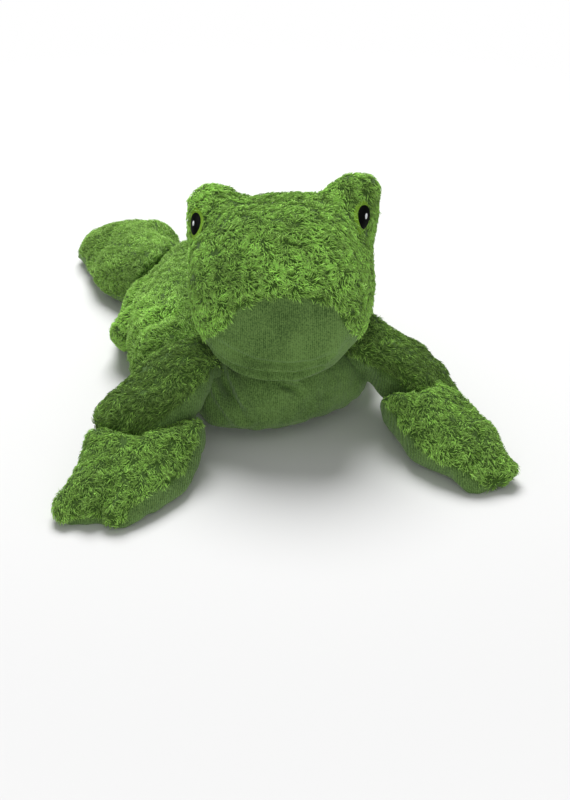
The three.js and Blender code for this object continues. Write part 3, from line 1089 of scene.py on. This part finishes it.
    def _hand_over(self) -> None:
        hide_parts(self.solids.velour, self.solids.filling)
        if self.bend is None:
            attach(self.cover, self.body)
        else:
            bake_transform(self.cover)


# Eyes


class Side(Enum):
    """The frog's own right or left."""

    RIGHT = "right"
    LEFT = "left"

    @property
    def out(self) -> float:
        """Give the sign that x has on this side."""
        return -1.0 if self is Side.RIGHT else 1.0


class Thread(Enum):
    """The thread that a part of the eye is stitched in."""

    IRIS = "iris"
    PUPIL = "pupil"
    GLINT = "glint"


@dataclass
class EyePatch:
    """One oval of satin stitch on the head."""

    side: Side
    thread: Thread
    rise: float
    spot: Spot
    wide: float
    tall: float
    lean: float
    pointed: float = 0.0
    probe: float = 15 * MM
    probe_reach: float = 40 * MM
    depth: float = 12 * MM
    outward: Place = (0.6, -1.0, 0.3)
    toward_view: float = 0.35
    flat_rise: float = 0.45
    narrowest: float = 0.02
    insets: tuple[float, ...] = (0.06, 0.12, 0.2, 0.2, 0.2)
    cloth: float = 0.7 * MM
    centre: np.ndarray = field(default=None, init=False)
    axes: np.ndarray = field(default=None, init=False)

    chart = "stitch_rows"

    @property
    def node(self) -> str:
        """Name the solid that the patch stands for."""
        return f"{self.side.value}_eye_{self.thread.value}"

    @property
    def half(self) -> np.ndarray:
        """Halve the patch's width and height."""
        return np.array([self.wide, self.tall]) / 2

    def measure(self, head: BVHTree) -> None:
        """Find the patch's place and directions by its solid and the picture.

        Args:
            head: The head's surface.
        """
        points = solid_points(self.node)
        _, _, rows = np.linalg.svd(points - points.mean(axis=0), full_matrices=False)
        tall, facing = rows[0], rows[2]
        out = np.array(self.outward) * (self.side.out, 1, 1)
        facing = facing if facing @ out > 0 else -facing
        tall = tall if tall[2] > 0 else -tall
        self.axes = np.stack([np.cross(tall, facing), tall, facing])
        self.centre = VIEW.seen(self.spot, head)[0]
        steps = np.linspace(-1, 1, 5)
        around = [self._under(x, y, head)[1] for x in steps for y in steps]
        facing = unit(np.mean([normal for normal in around if normal is not None], axis=0))
        facing = unit(facing + self.toward_view * unit(VIEW.place() - self.centre))
        right, up, back = VIEW.axes()
        shown = right * self.lean + up
        tall = unit(shown - back * (shown @ facing) / (back @ facing))
        self.axes = np.stack([np.cross(tall, facing), tall, facing])

    def _under(self, x: float, y: float, head: BVHTree) -> tuple[np.ndarray, np.ndarray | None]:
        """Find the place of the head under a point of the oval.

        Args:
            x: Where the point lies across the oval, from -1 to 1.
            y: Where it lies along the oval, from -1 to 1.
            head: The head's surface.

        Returns:
            The place, and the way that the head faces there, if it lies under the point.
        """
        place = self.centre + self.axes[0] * x * self.half[0] + self.axes[1] * y * self.half[1]
        start = Vector(place + self.axes[2] * self.probe)
        hit, normal, _, _ = head.ray_cast(start, Vector(-self.axes[2]), self.probe_reach)
        return (place, None) if hit is None else (np.array(hit), np.array(normal))

    def covers(self, places: np.ndarray, inset: float) -> np.ndarray:
        """Find which places lie over or under the patch.

        Args:
            places: The places, one a row.
            inset: How much smaller than the patch the oval is that is tried.

        Returns:
            True for each place in the oval.
        """
        across, along, away = self.axes @ (places - self.centre).T
        wide, tall = self.half - inset
        return ((across / wide) ** 2 + (along / tall) ** 2 < 1) & (np.abs(away) < self.depth)

    def stitch(self, head: BVHTree, finish: bpy.types.Material) -> None:
        """Model the patch and lay it on the head.

        Args:
            head: The head's surface.
            finish: The thread.
        """
        self.measure(head)
        bpy.ops.mesh.primitive_circle_add(vertices=40, radius=1.0, fill_type="NGON")
        patch = bpy.context.object
        patch.name = patch.data.name = f"{self.side.value}_{self.thread.value}_patch"
        with edit_mode():
            for step in self.insets:
                bpy.ops.mesh.inset(thickness=step, depth=0.0)
            bpy.ops.mesh.poke()
        self._lay(patch.data, head)
        applied(patch, "SOLIDIFY", thickness=self.cloth, offset=-1.0)
        applied(patch, "SUBSURF", levels=1, render_levels=1)
        shade_smooth(patch.data)
        patch.data.materials.append(finish)
        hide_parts(self.node)
        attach(patch, "head")
        report(patch)

    def _lay(self, mesh: bpy.types.Mesh, head: BVHTree) -> None:
        """Lay the flat oval on the head, domed, with its rows of stitches mapped.

        Args:
            mesh: The oval, as a circle of radius one.
            head: The head's surface.
        """
        flat = points_of(mesh)
        flat[:, 0] *= (1 - flat[:, 1] ** 2).clip(self.narrowest) ** self.pointed
        x, y = flat[:, 0], flat[:, 1]
        bases = np.array([self._under(across, along, head)[0] for across, along in zip(x, y)])
        dome = np.sqrt((1 - (x * x + y * y)).clip(0.0))
        domed = self.flat_rise + (1 - self.flat_rise) * dome
        depth = bases @ self.axes[2] + self.rise * domed
        terms = np.stack([np.ones(len(x)), x, y, x**2, x * y, y**2])
        depth = np.linalg.lstsq(terms.T, depth, rcond=None)[0] @ terms
        chart = mesh.uv_layers.new(name=self.chart)
        for loop in mesh.loops:
            chart.data[loop.index].uv = flat[loop.vertex_index, :2] * self.half
        move_points(mesh, bases + (depth - bases @ self.axes[2])[:, None] * self.axes[2])


# Pile


@dataclass
class Pile:
    """The curly tufts that stand on one body's pile panel."""

    owner: SoftBody
    comb: Place
    density: float
    tone: float
    seed: int
    length: float = 4.0 * MM
    spread: float = 1.0
    thickness: float = 0.1
    thinnest: float = 0.38 * MM
    lengths: Span = (0.7, 1.3)
    widths: Span = (0.75, 1.25)
    lean: Span = (30.0, 66.0)
    lay: Span = (86.0, 118.0)
    curl: float = 1.2
    curl_from: float = 0.2
    depth: float = 0.4 * MM
    swirl: float = 0.8
    swirl_size: float = 10 * MM
    stray: float = 0.26
    clump: float = 2.8 * MM
    clump_count: float = 1.4
    pull: float = 0.22
    rings: Span = (0.85, 1.0)
    clump_tone: float = 2.5
    tuft_tone: float = 7.0
    patch_tone: float = 3.0
    patch_sizes: Span = (11 * MM, 34 * MM)
    floor_gaps: Span = (0.5 * MM, 0.1 * MM)
    fringe: float = 2.5 * MM
    pupil_edge: float = 0.15 * MM
    buried: float = 2.5 * MM
    buried_reach: float = 60 * MM
    most_in_piece: int = 19000
    source: np.random.Generator = field(default=None, init=False)
    roots: np.ndarray = field(default=None, init=False)
    normals: np.ndarray = field(default=None, init=False)

    chart = "OFBake"
    strips = 32

    @property
    def width(self) -> float:
        """Give a tuft's thickness, which is a share of its length."""
        return max(self.thickness * self.length, self.thinnest)

    def plant(self, others: list[BVHTree], bare: list[EyePatch]) -> list[bpy.types.Object]:
        """Grow the tufts.

        Args:
            others: The neighbouring covers, in which nothing grows.
            bare: The eye patches, on which nothing grows.

        Returns:
            The pieces of pile.
        """
        self.source = np.random.default_rng(self.seed)
        self._take_root()
        keep = np.ones(len(self.roots), bool)
        for patch in bare:
            inset = 0.0 if patch.thread is Thread.PUPIL else self.fringe
            keep &= ~patch.covers(self.roots, inset)
        for other in others:
            keep &= ~self._buried(other)
        self.roots, self.normals = self.roots[keep], self.normals[keep]
        points, strips = self._tufts()
        clear = np.ones(len(points), bool)
        for pupil in (patch for patch in bare if patch.thread is Thread.PUPIL):
            for column in points.transpose(1, 0, 2):
                clear &= ~pupil.covers(column, self.pupil_edge)
        return self._pieces(points[clear], strips[clear])

    def _take_root(self) -> None:
        """Choose where the tufts stand, and read the ways that the cover faces there."""
        mesh = self.owner.cover.data
        points, facing, corners = points_of(mesh), normals_of(mesh), triangles_of(mesh)
        share = rows_of(mesh.attributes["pile_share"].data, "value", np.float32, 1)[:, 0]
        a, b, c = (points[corners[:, k]] for k in range(3))
        area = np.linalg.norm(np.cross(b - a, c - a), axis=1) / 2
        area = area * (share[corners].max(axis=1) > 0.5)
        count = int(area.sum() / MM**2 * self.density)
        chosen = self.source.choice(len(area), count, p=area / area.sum())
        u, v = self.source.random(count), self.source.random(count)
        over = u + v > 1
        u[over], v[over] = 1 - u[over], 1 - v[over]
        weight = np.stack([1 - u - v, u, v], axis=1)[:, :, None]
        picked = corners[chosen]
        on_pile = (share[picked] * weight[:, :, 0]).sum(axis=1) > 0.5
        self.roots = (points[picked] * weight).sum(axis=1)[on_pile]
        self.normals = unit((facing[picked] * weight).sum(axis=1))[on_pile]

    def _buried(self, other: BVHTree) -> np.ndarray:
        """Find the roots that lie well inside a neighbour.

        Args:
            other: The neighbour's surface.

        Returns:
            True for each such root.
        """
        deep = np.zeros(len(self.roots), bool)
        for k, root in enumerate(self.roots):
            spot = Vector(root)
            near, normal, _, gap = other.find_nearest(spot, self.buried_reach)
            if near is not None and gap > self.buried and (spot - near).dot(normal) < 0:
                deep[k] = inside(spot, other)
        return deep

    def _flow(self) -> np.ndarray:
        """Work out which way the pile lies.

        Returns:
            A unit direction along the cover for each root.
        """
        swirl = WaveNoise(self.swirl_size, self.seed + 3).vectors(self.roots)
        stray = self.source.normal(size=self.roots.shape)
        way = np.array(self.comb) + self.swirl * swirl + self.stray * stray
        return unit(way - (way * self.normals).sum(axis=1, keepdims=True) * self.normals)

    def _tufts(self) -> tuple[np.ndarray, np.ndarray]:
        """Shape the tufts as rings of three points and a tip.

        Returns:
            The points of each tuft, and the number of its strip of the map.
        """
        normals, source = self.normals, self.source
        count, steps = len(self.roots), len(self.rings)
        flow = self._flow()
        side = np.cross(normals, flow)
        length = self.length * source.uniform(*self.lengths, count)
        lean = np.radians(source.uniform(*self.lean, count))
        lay = np.radians(source.uniform(*self.lay, count))
        curl = source.normal(0, self.curl, count)
        spot = self.roots - normals * self.depth
        line = [spot]
        for k in range(steps):
            share = (k + 0.5) / steps
            tilt = (lean + (lay - lean) * share)[:, None]
            veer = (curl * (share - self.curl_from))[:, None]
            along = flow * np.cos(veer) + side * np.sin(veer)
            way = normals * np.cos(tilt) + along * np.sin(tilt)
            spot = spot + way * (length / steps)[:, None]
            line.append(spot)
        line, shade = self._clumped(np.stack(line, axis=1))
        line[:, 1:, 2] = np.maximum(line[:, 1:, 2], self.floor_gaps[0])
        points = self._rings(line)
        points[:, :, 2] = np.maximum(points[:, :, 2], self.floor_gaps[1])
        tone = self.clump_tone * shade + self.tuft_tone * source.normal(size=count)
        for number, size in enumerate(self.patch_sizes, self.seed + 5):
            tone += self.patch_tone * WaveNoise(size, number).at(self.roots)
        # painted light and painted shade on the pile, in strips of its map
        shown = sum(one.at(self.roots) for one in self.owner.likeness.painted_shades)
        tone = self.tone + self.spread * tone + shown
        return points, np.clip(tone, 0, self.strips - 1).astype(int)

    def _clumped(self, line: np.ndarray) -> tuple[np.ndarray, np.ndarray]:
        """Draw the tufts' ends together into clumps, each with a shade of its own.

        Args:
            line: The places along each tuft.

        Returns:
            The drawn places, and each tuft's shade.
        """
        roots = self.roots
        share = (MM / self.clump) ** 2 / self.density * self.clump_count
        chosen = self.source.choice(len(roots), max(int(len(roots) * share), 1), replace=False)
        finder = KDTree(len(chosen))
        for k, one in enumerate(chosen):
            finder.insert(Vector(roots[one]), k)
        finder.balance()
        middle = chosen[[finder.find(Vector(root))[1] for root in roots]]
        shade = self.source.normal(size=len(roots))[middle]
        pull = np.linspace(0.0, self.pull * self.spread, line.shape[1])[None, :, None]
        return line + (line[middle] - line) * pull, shade

    def _rings(self, line: np.ndarray) -> np.ndarray:
        """Put rings and a tip along each tuft's line.

        Args:
            line: The places along each tuft.

        Returns:
            The points of each tuft.
        """
        count = len(line)
        width = self.width * self.source.uniform(*self.widths, count) / 2
        points = np.empty((count, 3 * len(self.rings) + 1, 3))
        turn = self.source.uniform(0, 2 * math.pi, count)
        guide = unit(self.source.normal(size=(count, 3)))
        for ring, size in enumerate(self.rings):
            way = unit(line[:, ring + 1] - line[:, max(ring - 1, 0)])
            across = unit(np.cross(way, guide))
            up = np.cross(way, across)
            for k in range(3):
                angle = (turn + 2 * math.pi * k / 3)[:, None]
                spoke = across * np.cos(angle) + up * np.sin(angle)
                points[:, ring * 3 + k] = line[:, ring] + spoke * (width * size)[:, None]
        points[:, -1] = line[:, -1]
        return points

    def _pieces(self, points: np.ndarray, strips: np.ndarray) -> list[bpy.types.Object]:
        """Make the meshes, each small enough to be kept whole.

        Args:
            points: The points of each tuft.
            strips: The number of its strip of the map.

        Returns:
            The pieces of pile.
        """
        order = np.argsort(points[:, 0, 1], kind="stable")
        parts = np.array_split(order, max(1, math.ceil(len(order) / self.most_in_piece)))
        made = []
        for number, part in enumerate(parts):
            name = f"{self.owner.name}_pile" + (f"_{number + 1}" if len(parts) > 1 else "")
            piece = linked(name, self._mesh(name, points[part], strips[part]))
            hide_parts(self.owner.solids.pile)
            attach(piece, self.owner.body)
            made.append(piece)
        return made

    def _mesh(self, name: str, points: np.ndarray, strips: np.ndarray) -> bpy.types.Mesh:
        """Make one mesh of closed tufts with their map.

        Args:
            name: The mesh's name.
            points: The points of each tuft.
            strips: The number of its strip of the map.

        Returns:
            The mesh.
        """
        corners, across, along = tuft_pattern(len(self.rings))
        count, size = points.shape[:2]
        faces = (corners[None] + size * np.arange(count)[:, None, None]).reshape(-1)
        mesh = bpy.data.meshes.new(name)
        mesh.vertices.add(count * size)
        mesh.vertices.foreach_set("co", points.astype(np.float32).ravel())
        mesh.loops.add(len(faces))
        mesh.loops.foreach_set("vertex_index", faces.astype(np.int32))
        mesh.polygons.add(len(faces) // 3)
        mesh.polygons.foreach_set("loop_start", np.arange(0, len(faces), 3, dtype=np.int32))
        shade_smooth(mesh)
        mesh.update(calc_edges=True)
        u = (strips[:, None] + across.ravel()[None]) / self.strips
        v = np.broadcast_to(along.ravel()[None], u.shape)
        chart = mesh.uv_layers.new(name=self.chart)
        chart.data.foreach_set("uv", np.stack([u, v], axis=2).astype(np.float32).ravel())
        mesh.validate()
        return mesh


def tuft_pattern(rings: int) -> tuple[np.ndarray, np.ndarray, np.ndarray]:
    """Lay out one tuft's triangles and their map.

    Args:
        rings: How many rings of three points it has below its tip.

    Returns:
        The triangles' point numbers, and where each corner lies across and along its strip.
    """
    tip = 3 * rings
    corners = []
    for ring in range(rings):
        for k in range(3):
            a, b = 3 * ring + k, 3 * ring + (k + 1) % 3
            corners += [(a, b, tip)] if ring == rings - 1 else [(a, b, b + 3), (a, b + 3, a + 3)]
    corners.append((0, 2, 1))
    corners = np.array(corners)
    across = np.where(corners == tip, 0.5, 0.15 + 0.35 * (corners % 3))
    along = np.where(corners == tip, 1.0, corners // 3 / rings)
    along[-1] = (0.0, 0.0, 0.05)
    return corners, across, along


# The studio


@dataclass(frozen=True)
class Lamp:
    """One round soft lamp that is aimed at the frog."""

    name: str
    power: float
    size: float
    place: Place
    aim: Place = (0.0, -0.05, 0.03)

    def build(self) -> None:
        """Hang the lamp."""
        data = bpy.data.lights.new(self.name, "AREA")
        data.energy = self.power
        data.shape = "DISK"
        data.size = self.size
        lamp = linked(self.name, data)
        lamp.location = self.place
        back = Vector(self.place) - Vector(self.aim)
        lamp.rotation_euler = back.to_track_quat("Z", "Y").to_euler()


@dataclass(frozen=True)
class Studio:
    """A white floor under soft light from above and behind, with a weaker lamp in front."""

    floor: float = 8.0
    sky: float = 0.31
    back_lamp: Lamp = Lamp("back_lamp", power=72.0, size=1.6, place=(0.1, 1.38, 2.05))
    front_lamp: Lamp = Lamp("front_lamp", power=8.5, size=1.2, place=(-0.25, -1.75, 0.25))

    def build(self) -> None:
        """Make the floor, the lamps and the light all round."""
        grid = {"x_subdivisions": 8, "y_subdivisions": 8, "size": self.floor}
        bpy.ops.mesh.primitive_grid_add(location=(0, 0, 0), **grid)
        floor = bpy.context.object
        floor.name = "studio_floor"
        floor.data.transform(floor.matrix_world)
        floor.matrix_world = Matrix.Identity(4)
        floor.data.materials.append(PaperFinish().make())
        self.back_lamp.build()
        self.front_lamp.build()
        self._light_sky()
        bpy.context.scene.view_settings.view_transform = "Standard"

    def _light_sky(self) -> None:
        """Light the scene evenly all round, under a sky that the camera sees as white."""
        recipe = Recipe(bpy.data.worlds.new("studio_light"))
        seen = recipe.node("ShaderNodeLightPath", {}, {}, "Is Camera Ray")
        inputs = {"Color": opaque((1.0, 1.0, 1.0)), "Strength": seen * (1 - self.sky) + self.sky}
        light = recipe.node("ShaderNodeBackground", {}, inputs)
        recipe.node("ShaderNodeOutputWorld", {}, {"Surface": light})
        bpy.context.scene.world = recipe.owner


# The frog


def joint_place(name: str) -> Place:
    """Find where a joint turns."""
    return tuple(next(one for one in frame["joints"] if one["name"] == name)["pos_m"])


@dataclass(frozen=True)
class LimbPlan:
    """What one kind of limb has of its own, with lengths in millimetres."""

    body: str
    part: str
    joint: str
    plug: float
    comb: Place
    easing: int
    tone: float
    pile_reach: float
    length: float
    spread: float
    voxel: float = 3.6
    swell: float = 2.0
    fill: float = 0.55
    thickness: float = 7.4

    def soft_body(self, side: Side, seed: int) -> SoftBody:
        """Plan the limb's cover.

        Args:
            side: The side of the frog.
            seed: The seed of the cover's slack.

        Returns:
            The plan.
        """
        name = f"{side.value}_{self.part}"
        likeness = LIKENESSES.get(name, Likeness())
        ball = Plug(joint_place(f"{side.value}_{self.joint}"), (self.plug * MM,) * 3)
        return SoftBody(
            name,
            f"{side.value}_{self.body}",
            Solids(f"{name}_top_panel", f"{name}_under_panel", f"{name}_filling"),
            easing=self.easing,
            fill=self.fill,
            seed=seed,
            likeness=replace(likeness, plugs=(ball, *likeness.plugs)),
            voxel=self.voxel * MM,
            pile_reach=self.pile_reach * MM,
            swell=self.swell * MM,
        )

    def pile(self, owner: SoftBody, side: Side, seed: int) -> Pile:
        """Plan the limb's pile.

        Args:
            owner: The limb's cover.
            side: The side of the frog.
            seed: The seed of the tufts.

        Returns:
            The plan.
        """
        comb, length = (self.comb[0] * side.out, *self.comb[1:]), self.length * MM
        density = self.thickness * MM / length
        return Pile(owner, comb, density, self.tone, seed, length, self.spread)


@dataclass
class Frog:
    """The whole toy."""

    # body, part, joint, plug, comb, easing, tone, pile_reach, length, spread
    # each tone also paints light and shade into its pile: the upper arms' low tone is painted shade
    # from the head above them
    limbs: tuple[LimbPlan, ...] = (
        LimbPlan("arm", "upper_arm", "shoulder", 16, (0.6, -0.5, -0.6), 8, 3.0, 0, 4.0, 1.0),
        LimbPlan("paw", "paw", "elbow", 14, (0.3, -0.7, -0.3), 5, 13.0, 5, 3.8, 0.85),
        LimbPlan("thigh", "thigh", "hip", 19, (0.8, 0.4, -0.5), 8, 15.0, 8, 3.4, 0.5),
        LimbPlan("foot", "foot", "knee", 17, (0.5, 0.8, -0.3), 6, 12.0, 3, 3.4, 0.5),
    )
    cover_seed: int = 50
    pile_seed: int = 70
    side_seeds: int = 10

    def build(self) -> None:
        """Make the covers, the eyes and the pile in order."""
        torso, head = self._torso(), self._head()
        covers = [torso, head]
        # the torso's and head's tones also paint light and shade into their pile
        piles = [
            Pile(torso, (0.0, 0.8, -0.4), 2.1, tone=11.5, seed=21, length=3.4 * MM, spread=0.5),
            Pile(head, (0.5, -0.4, -0.5), 2.25, tone=18.0, seed=31),
        ]
        for number, side in enumerate(Side):
            for place, plan in enumerate(self.limbs, number * self.side_seeds):
                covers.append(plan.soft_body(side, self.cover_seed + place))
                piles.append(plan.pile(covers[-1], side, self.pile_seed + place))
        velour = VelourFinish().make()
        for cover in covers:
            cover.sew(velour)
        patches = self._stitch_eyes(head.surface())
        green = PileFinish().make()
        surfaces = {cover.name: cover.surface() for cover in covers}
        for pile in piles:
            others = [one for name, one in surfaces.items() if name != pile.owner.name]
            for piece in pile.plant(others, patches if pile.owner is head else []):
                piece.data.materials.append(green)
                report(piece)

    def _torso(self) -> SoftBody:
        """Plan the torso's cover, with the neck that reaches up into the head.

        Returns:
            The plan.
        """
        return SoftBody(
            "torso",
            "torso",
            Solids("torso_back_panel", "torso_belly_panel", "torso_filling"),
            easing=30,
            fill=0.5,
            seed=41,
            likeness=LIKENESSES["torso"],
            levels=2,
            pile_reach=4 * MM,
            sag=0.9 * MM,
            bend=Bend("head", (8 * MM, -50 * MM, 52 * MM), (8 * MM, -50 * MM, 80 * MM)),
        )

    def _head(self) -> SoftBody:
        """Plan the head's cover.

        Returns:
            The plan.
        """
        return SoftBody(
            "head",
            "head",
            Solids("head_pile_cover", "head_throat_panel", "head_filling"),
            easing=7,
            fill=0.7,
            seed=43,
            likeness=LIKENESSES["head"],
            voxel=3.8 * MM,
            levels=2,
            pile_inset=0.6 * MM,
        )

    def _stitch_eyes(self, head: BVHTree) -> list[EyePatch]:
        """Stitch both eyes on the head.

        Args:
            head: The head's surface.

        Returns:
            The eyes' patches.
        """
        green = ((0.12, 0.26, 0.018), (0.30, 0.54, 0.050))
        black = ((0.001, 0.001, 0.001), (0.003, 0.004, 0.003))
        white = ((0.75, 0.78, 0.8), (0.95, 0.96, 0.97))
        threads = {
            Thread.IRIS: ThreadFinish("iris_thread", *green, rough=0.8),
            Thread.PUPIL: ThreadFinish("pupil_thread", *black, gloss=0.04),
            Thread.GLINT: ThreadFinish("glint_thread", *white),
        }
        finishes = {thread: finish.make() for thread, finish in threads.items()}
        patches = [
            EyePatch(side, thread, rise * MM, spot, wide * MM, tall * MM, *shape)
            for side, thread, rise, spot, wide, tall, *shape in EYES
        ]
        for patch in patches:
            patch.stitch(head, finishes[patch.thread])
        return patches


# Tables that are read from the picture: spots and paths in its pixels, lengths in millimetres,
# tones of painted light and shade in strips of the pile's map, or in shares of the velour's light
# colour


def plug(centre: Place, radii: Place) -> Plug:
    """Read a plug from its centre and radii."""
    return Plug(tuple(value * MM for value in centre), tuple(value * MM for value in radii))


def nudges(*rows: tuple[float, ...]) -> tuple[Nudge, ...]:
    """Read pushes from rows of spot, way to the right and down, amount and reach."""
    return tuple(Nudge(row[:2], row[2:4], row[4] * MM, row[5] * MM) for row in rows)


def painted_shades(*rows: tuple[float, ...]) -> tuple[Shade, ...]:
    """Read patches of painted light and shade from rows of spot, amount and reach in pixels."""
    return tuple(Shade(row[:2], *row[2:]) for row in rows)


def fold(depth: float, width: float, lip: float, *path: Spot) -> Fold:
    """Read a fold from its depth, width, share of lip and path."""
    return Fold(path, depth * MM, width * MM, lip)


# side, thread, rise, spot, wide, tall, lean, pointed
EYES = (
    (Side.RIGHT, Thread.IRIS, 1.2, (196.8, 225.0), 9.6, 18.5, -0.04, 0.25),
    (Side.RIGHT, Thread.PUPIL, 1.9, (196.3, 224.2), 7.4, 12.4, -0.07),
    (Side.RIGHT, Thread.GLINT, 2.4, (195.7, 224.2), 1.9, 4.0, 0.0),
    (Side.LEFT, Thread.IRIS, 1.2, (361.3, 217.5), 10.4, 18.5, 0.16, 0.25),
    (Side.LEFT, Thread.PUPIL, 1.9, (362.8, 217.2), 8.5, 12.5, 0.19),
    (Side.LEFT, Thread.GLINT, 2.4, (363.9, 216.5), 2.5, 4.4, 0.24),
)

MOUTH_SEAM = (
    (196, 345), (203, 338), (212, 332), (222, 328), (230, 320), (238, 309), (250, 303), (262, 298),
    (285, 297), (306, 298), (322, 302), (333, 303), (338, 312), (342, 322), (349, 330), (358, 335),
    (376, 338),
)
RIGHT_PAW_SEAM = (
    (112, 532), (120, 526), (127, 515), (135, 504), (150, 493), (170, 485), (185, 470), (193, 450),
    (199, 430), (206, 414),
)
LEFT_PAW_SEAM = (
    (376, 384), (381, 397), (388, 410), (397, 422), (408, 436), (420, 448), (434, 458), (448, 465),
    (460, 469), (470, 476), (480, 483), (492, 488), (505, 489), (522, 484),
)

LIKENESSES: dict[str, Likeness] = {
    "torso": Likeness(
        plugs=(plug((8, -50, 50), (34, 38, 26)), plug((-54, -40, 15), (14, 20, 13))),
        nudges=nudges(
            (338, 408, -0.4, -1.0, 3.0, 18), (300, 422, 0.0, -1.0, 1.3, 20),
            (216, 418, -0.4, 0.9, 3.0, 12), (142, 350, -0.7, 0.7, 2.4, 12),
            (183, 247, 0.0, -1.0, 2.4, 10),
        ),
        folds=(
            fold(4.2, 2.4, 1.0, (213, 360), (222, 376), (229, 392), (236, 406), (243, 418)),
            fold(2.0, 1.6, 0.8, (281, 384), (291, 387), (301, 392)),
            fold(1.4, 3.6, 0.5, (184, 313), (165, 317), (150, 323), (138, 334), (130, 347)),
        ),
        # painted light and painted shade on the velour
        brushed=painted_shades(
            (218, 398, -0.22, 10.0), (236, 408, 0.14, 9.0), (252, 386, -0.16, 14.0),
            (348, 388, 0.45, 18.0), (285, 412, 0.20, 22.0),
        ),
        painted_shades=painted_shades((132, 312, 8.0, 26.0), (162, 318, 7.0, 20.0)),
    ),
    "head": Likeness(
        nudges=nudges(
            (206, 198, -1.0, -0.5, 4.6, 12), (228, 195, 0.3, -1.0, 3.0, 8),
            (211, 192, 0.0, 1.0, 2.4, 8), (370, 230, -1.0, 0.0, 1.4, 12),
            (198, 240, -1.0, 0.0, 3.2, 16), (198, 285, -1.0, 0.0, 2.4, 17),
            (366, 196, 1.0, -0.35, 4.2, 12), (364, 186, 0.9, -0.7, 2.6, 8),
            (340, 190, -0.4, -1.0, 3.6, 9), (370, 262, -1.0, 0.0, 3.3, 24),
            (352, 345, -1.0, 0.1, 3.0, 10), (280, 360, 0.0, 1.0, 4.4, 22),
        ),
        mounds=(Mound((196, 224), 1.4 * MM, 9 * MM), Mound((361, 217), 1.8 * MM, 9 * MM)),
        folds=(
            fold(
                1.2, 1.4, 0.9,
                (217, 341), (235, 352), (255, 361), (290, 365), (315, 362), (332, 354),
            ),
            fold(
                2.2, 1.4, 1.0,
                (210, 345), (220, 355), (233, 363), (252, 370), (275, 373), (300, 372), (320, 366),
            ),
        ),
        # painted light and painted shade on the velour
        brushed=painted_shades(
            (338, 350, 0.42, 24.0), (226, 350, 0.20, 22.0), (290, 366, 0.16, 26.0),
            (240, 312, 0.12, 14.0),
        ),
        painted_shades=painted_shades(
            (285, 280, 4.5, 40.0), (216, 232, -2.5, 22.0), (245, 196, -1.5, 24.0),
            (362, 255, -2.0, 22.0),
        ),
        seam=PictureSeam(MOUTH_SEAM, reach=34.0, round_edge=False),
    ),
    "right_upper_arm": Likeness(
        nudges=nudges(
            (116, 410, -1.0, -0.1, 7.0, 15), (130, 388, 0.7, 0.7, 2.6, 12),
            (145, 418, 0.1, -1.0, 4.0, 12),
        ),
        painted_shades=painted_shades((150, 352, 6.0, 20.0), (168, 400, -5.0, 28.0)),
    ),
    "right_paw": Likeness(
        nudges=nudges(
            (182, 434, 0.85, -0.85, 8.6, 13), (178, 474, 0.7, 0.7, 4.0, 14),
            (99, 437, -0.9, -0.5, 4.4, 9), (88, 452, 0.9, 0.3, 1.4, 10),
            (72, 500, -0.95, 0.5, 4.2, 12), (72, 488, -0.9, -0.5, 1.8, 10),
            (82, 515, 0.0, 1.0, 3.6, 9), (99, 514, 0.2, -1.0, 2.4, 6), (120, 516, 0.2, 1.0, 1.6, 9),
        ),
        folds=(fold(3.0, 2.6, 0.5, (112, 486), (108, 500), (100, 512), (97, 519)),),
        seam=PictureSeam(RIGHT_PAW_SEAM, reach=60.0, round_edge=True),
    ),
    "left_upper_arm": Likeness(
        nudges=nudges(
            (380, 326, -0.5, -0.9, 6.0, 8), (394, 332, -0.2, 1.0, 2.4, 9),
            (376, 384, 0.95, -0.35, 7.0, 12), (384, 388, 0.9, -0.5, 6.0, 14),
            (440, 372, -0.7, 0.7, 2.2, 12),
        ),
        painted_shades=painted_shades((390, 340, 5.0, 16.0), (376, 366, -4.5, 12.0)),
    ),
    "left_paw": Likeness(
        nudges=nudges(
            (490, 480, 0.0, 1.0, 4.4, 11), (510, 476, -0.7, -0.6, 1.4, 8),
            (396, 428, 0.9, -0.4, 2.4, 12), (394, 412, -0.35, -1.0, 7.0, 12),
            (425, 405, 0.0, -1.0, 1.5, 12), (464, 402, -0.5, 0.9, 4.8, 11),
            (412, 446, -0.6, 0.7, 2.4, 11), (436, 472, 0.3, -0.9, 3.6, 13),
        ),
        folds=(fold(2.4, 2.4, 0.4, (478, 430), (480, 440), (480, 452), (479, 460), (472, 465)),),
        seam=PictureSeam(LEFT_PAW_SEAM, reach=60.0, round_edge=True),
    ),
    "right_thigh": Likeness(
        plugs=(plug((-58, 3, 21), (12, 17, 15)),),
        nudges=nudges(
            (118, 334, -0.95, 0.15, 4.4, 13), (120, 306, 0.75, 0.65, 8.0, 13),
            (146, 282, 0.45, 0.9, 5.0, 11), (160, 270, 0.4, 0.9, 3.6, 10),
        ),
        painted_shades=painted_shades((130, 318, 8.0, 30.0)),
    ),
    "left_thigh": Likeness(plugs=(plug((52, 13, 20), (18, 21, 15)),)),
    "right_foot": Likeness(
        nudges=nudges(
            (106, 276, -0.8, 0.7, 5.6, 16), (92, 262, -0.9, 0.4, 2.0, 8),
            (94, 238, 0.75, 0.7, 3.0, 9), (92, 246, 0.9, 0.4, 7.5, 14),
            (88, 262, -0.8, 0.6, 4.0, 8), (118, 286, 0.2, 1.0, 2.6, 12),
            (176, 236, -0.75, 0.6, 5.0, 14), (158, 224, 0.5, -0.6, 2.0, 8),
            (130, 224, 0.0, 1.0, 0.8, 12),
        ),
        painted_shades=painted_shades((140, 280, -5.0, 22.0), (150, 232, 2.0, 20.0)),
    ),
}


def main() -> None:
    """Build the scene."""
    logging.basicConfig(level=logging.INFO, format="%(name)s: %(message)s")
    VIEW.build()
    Studio().build()
    Frog().build()


if __name__ == "__main__":
    main()
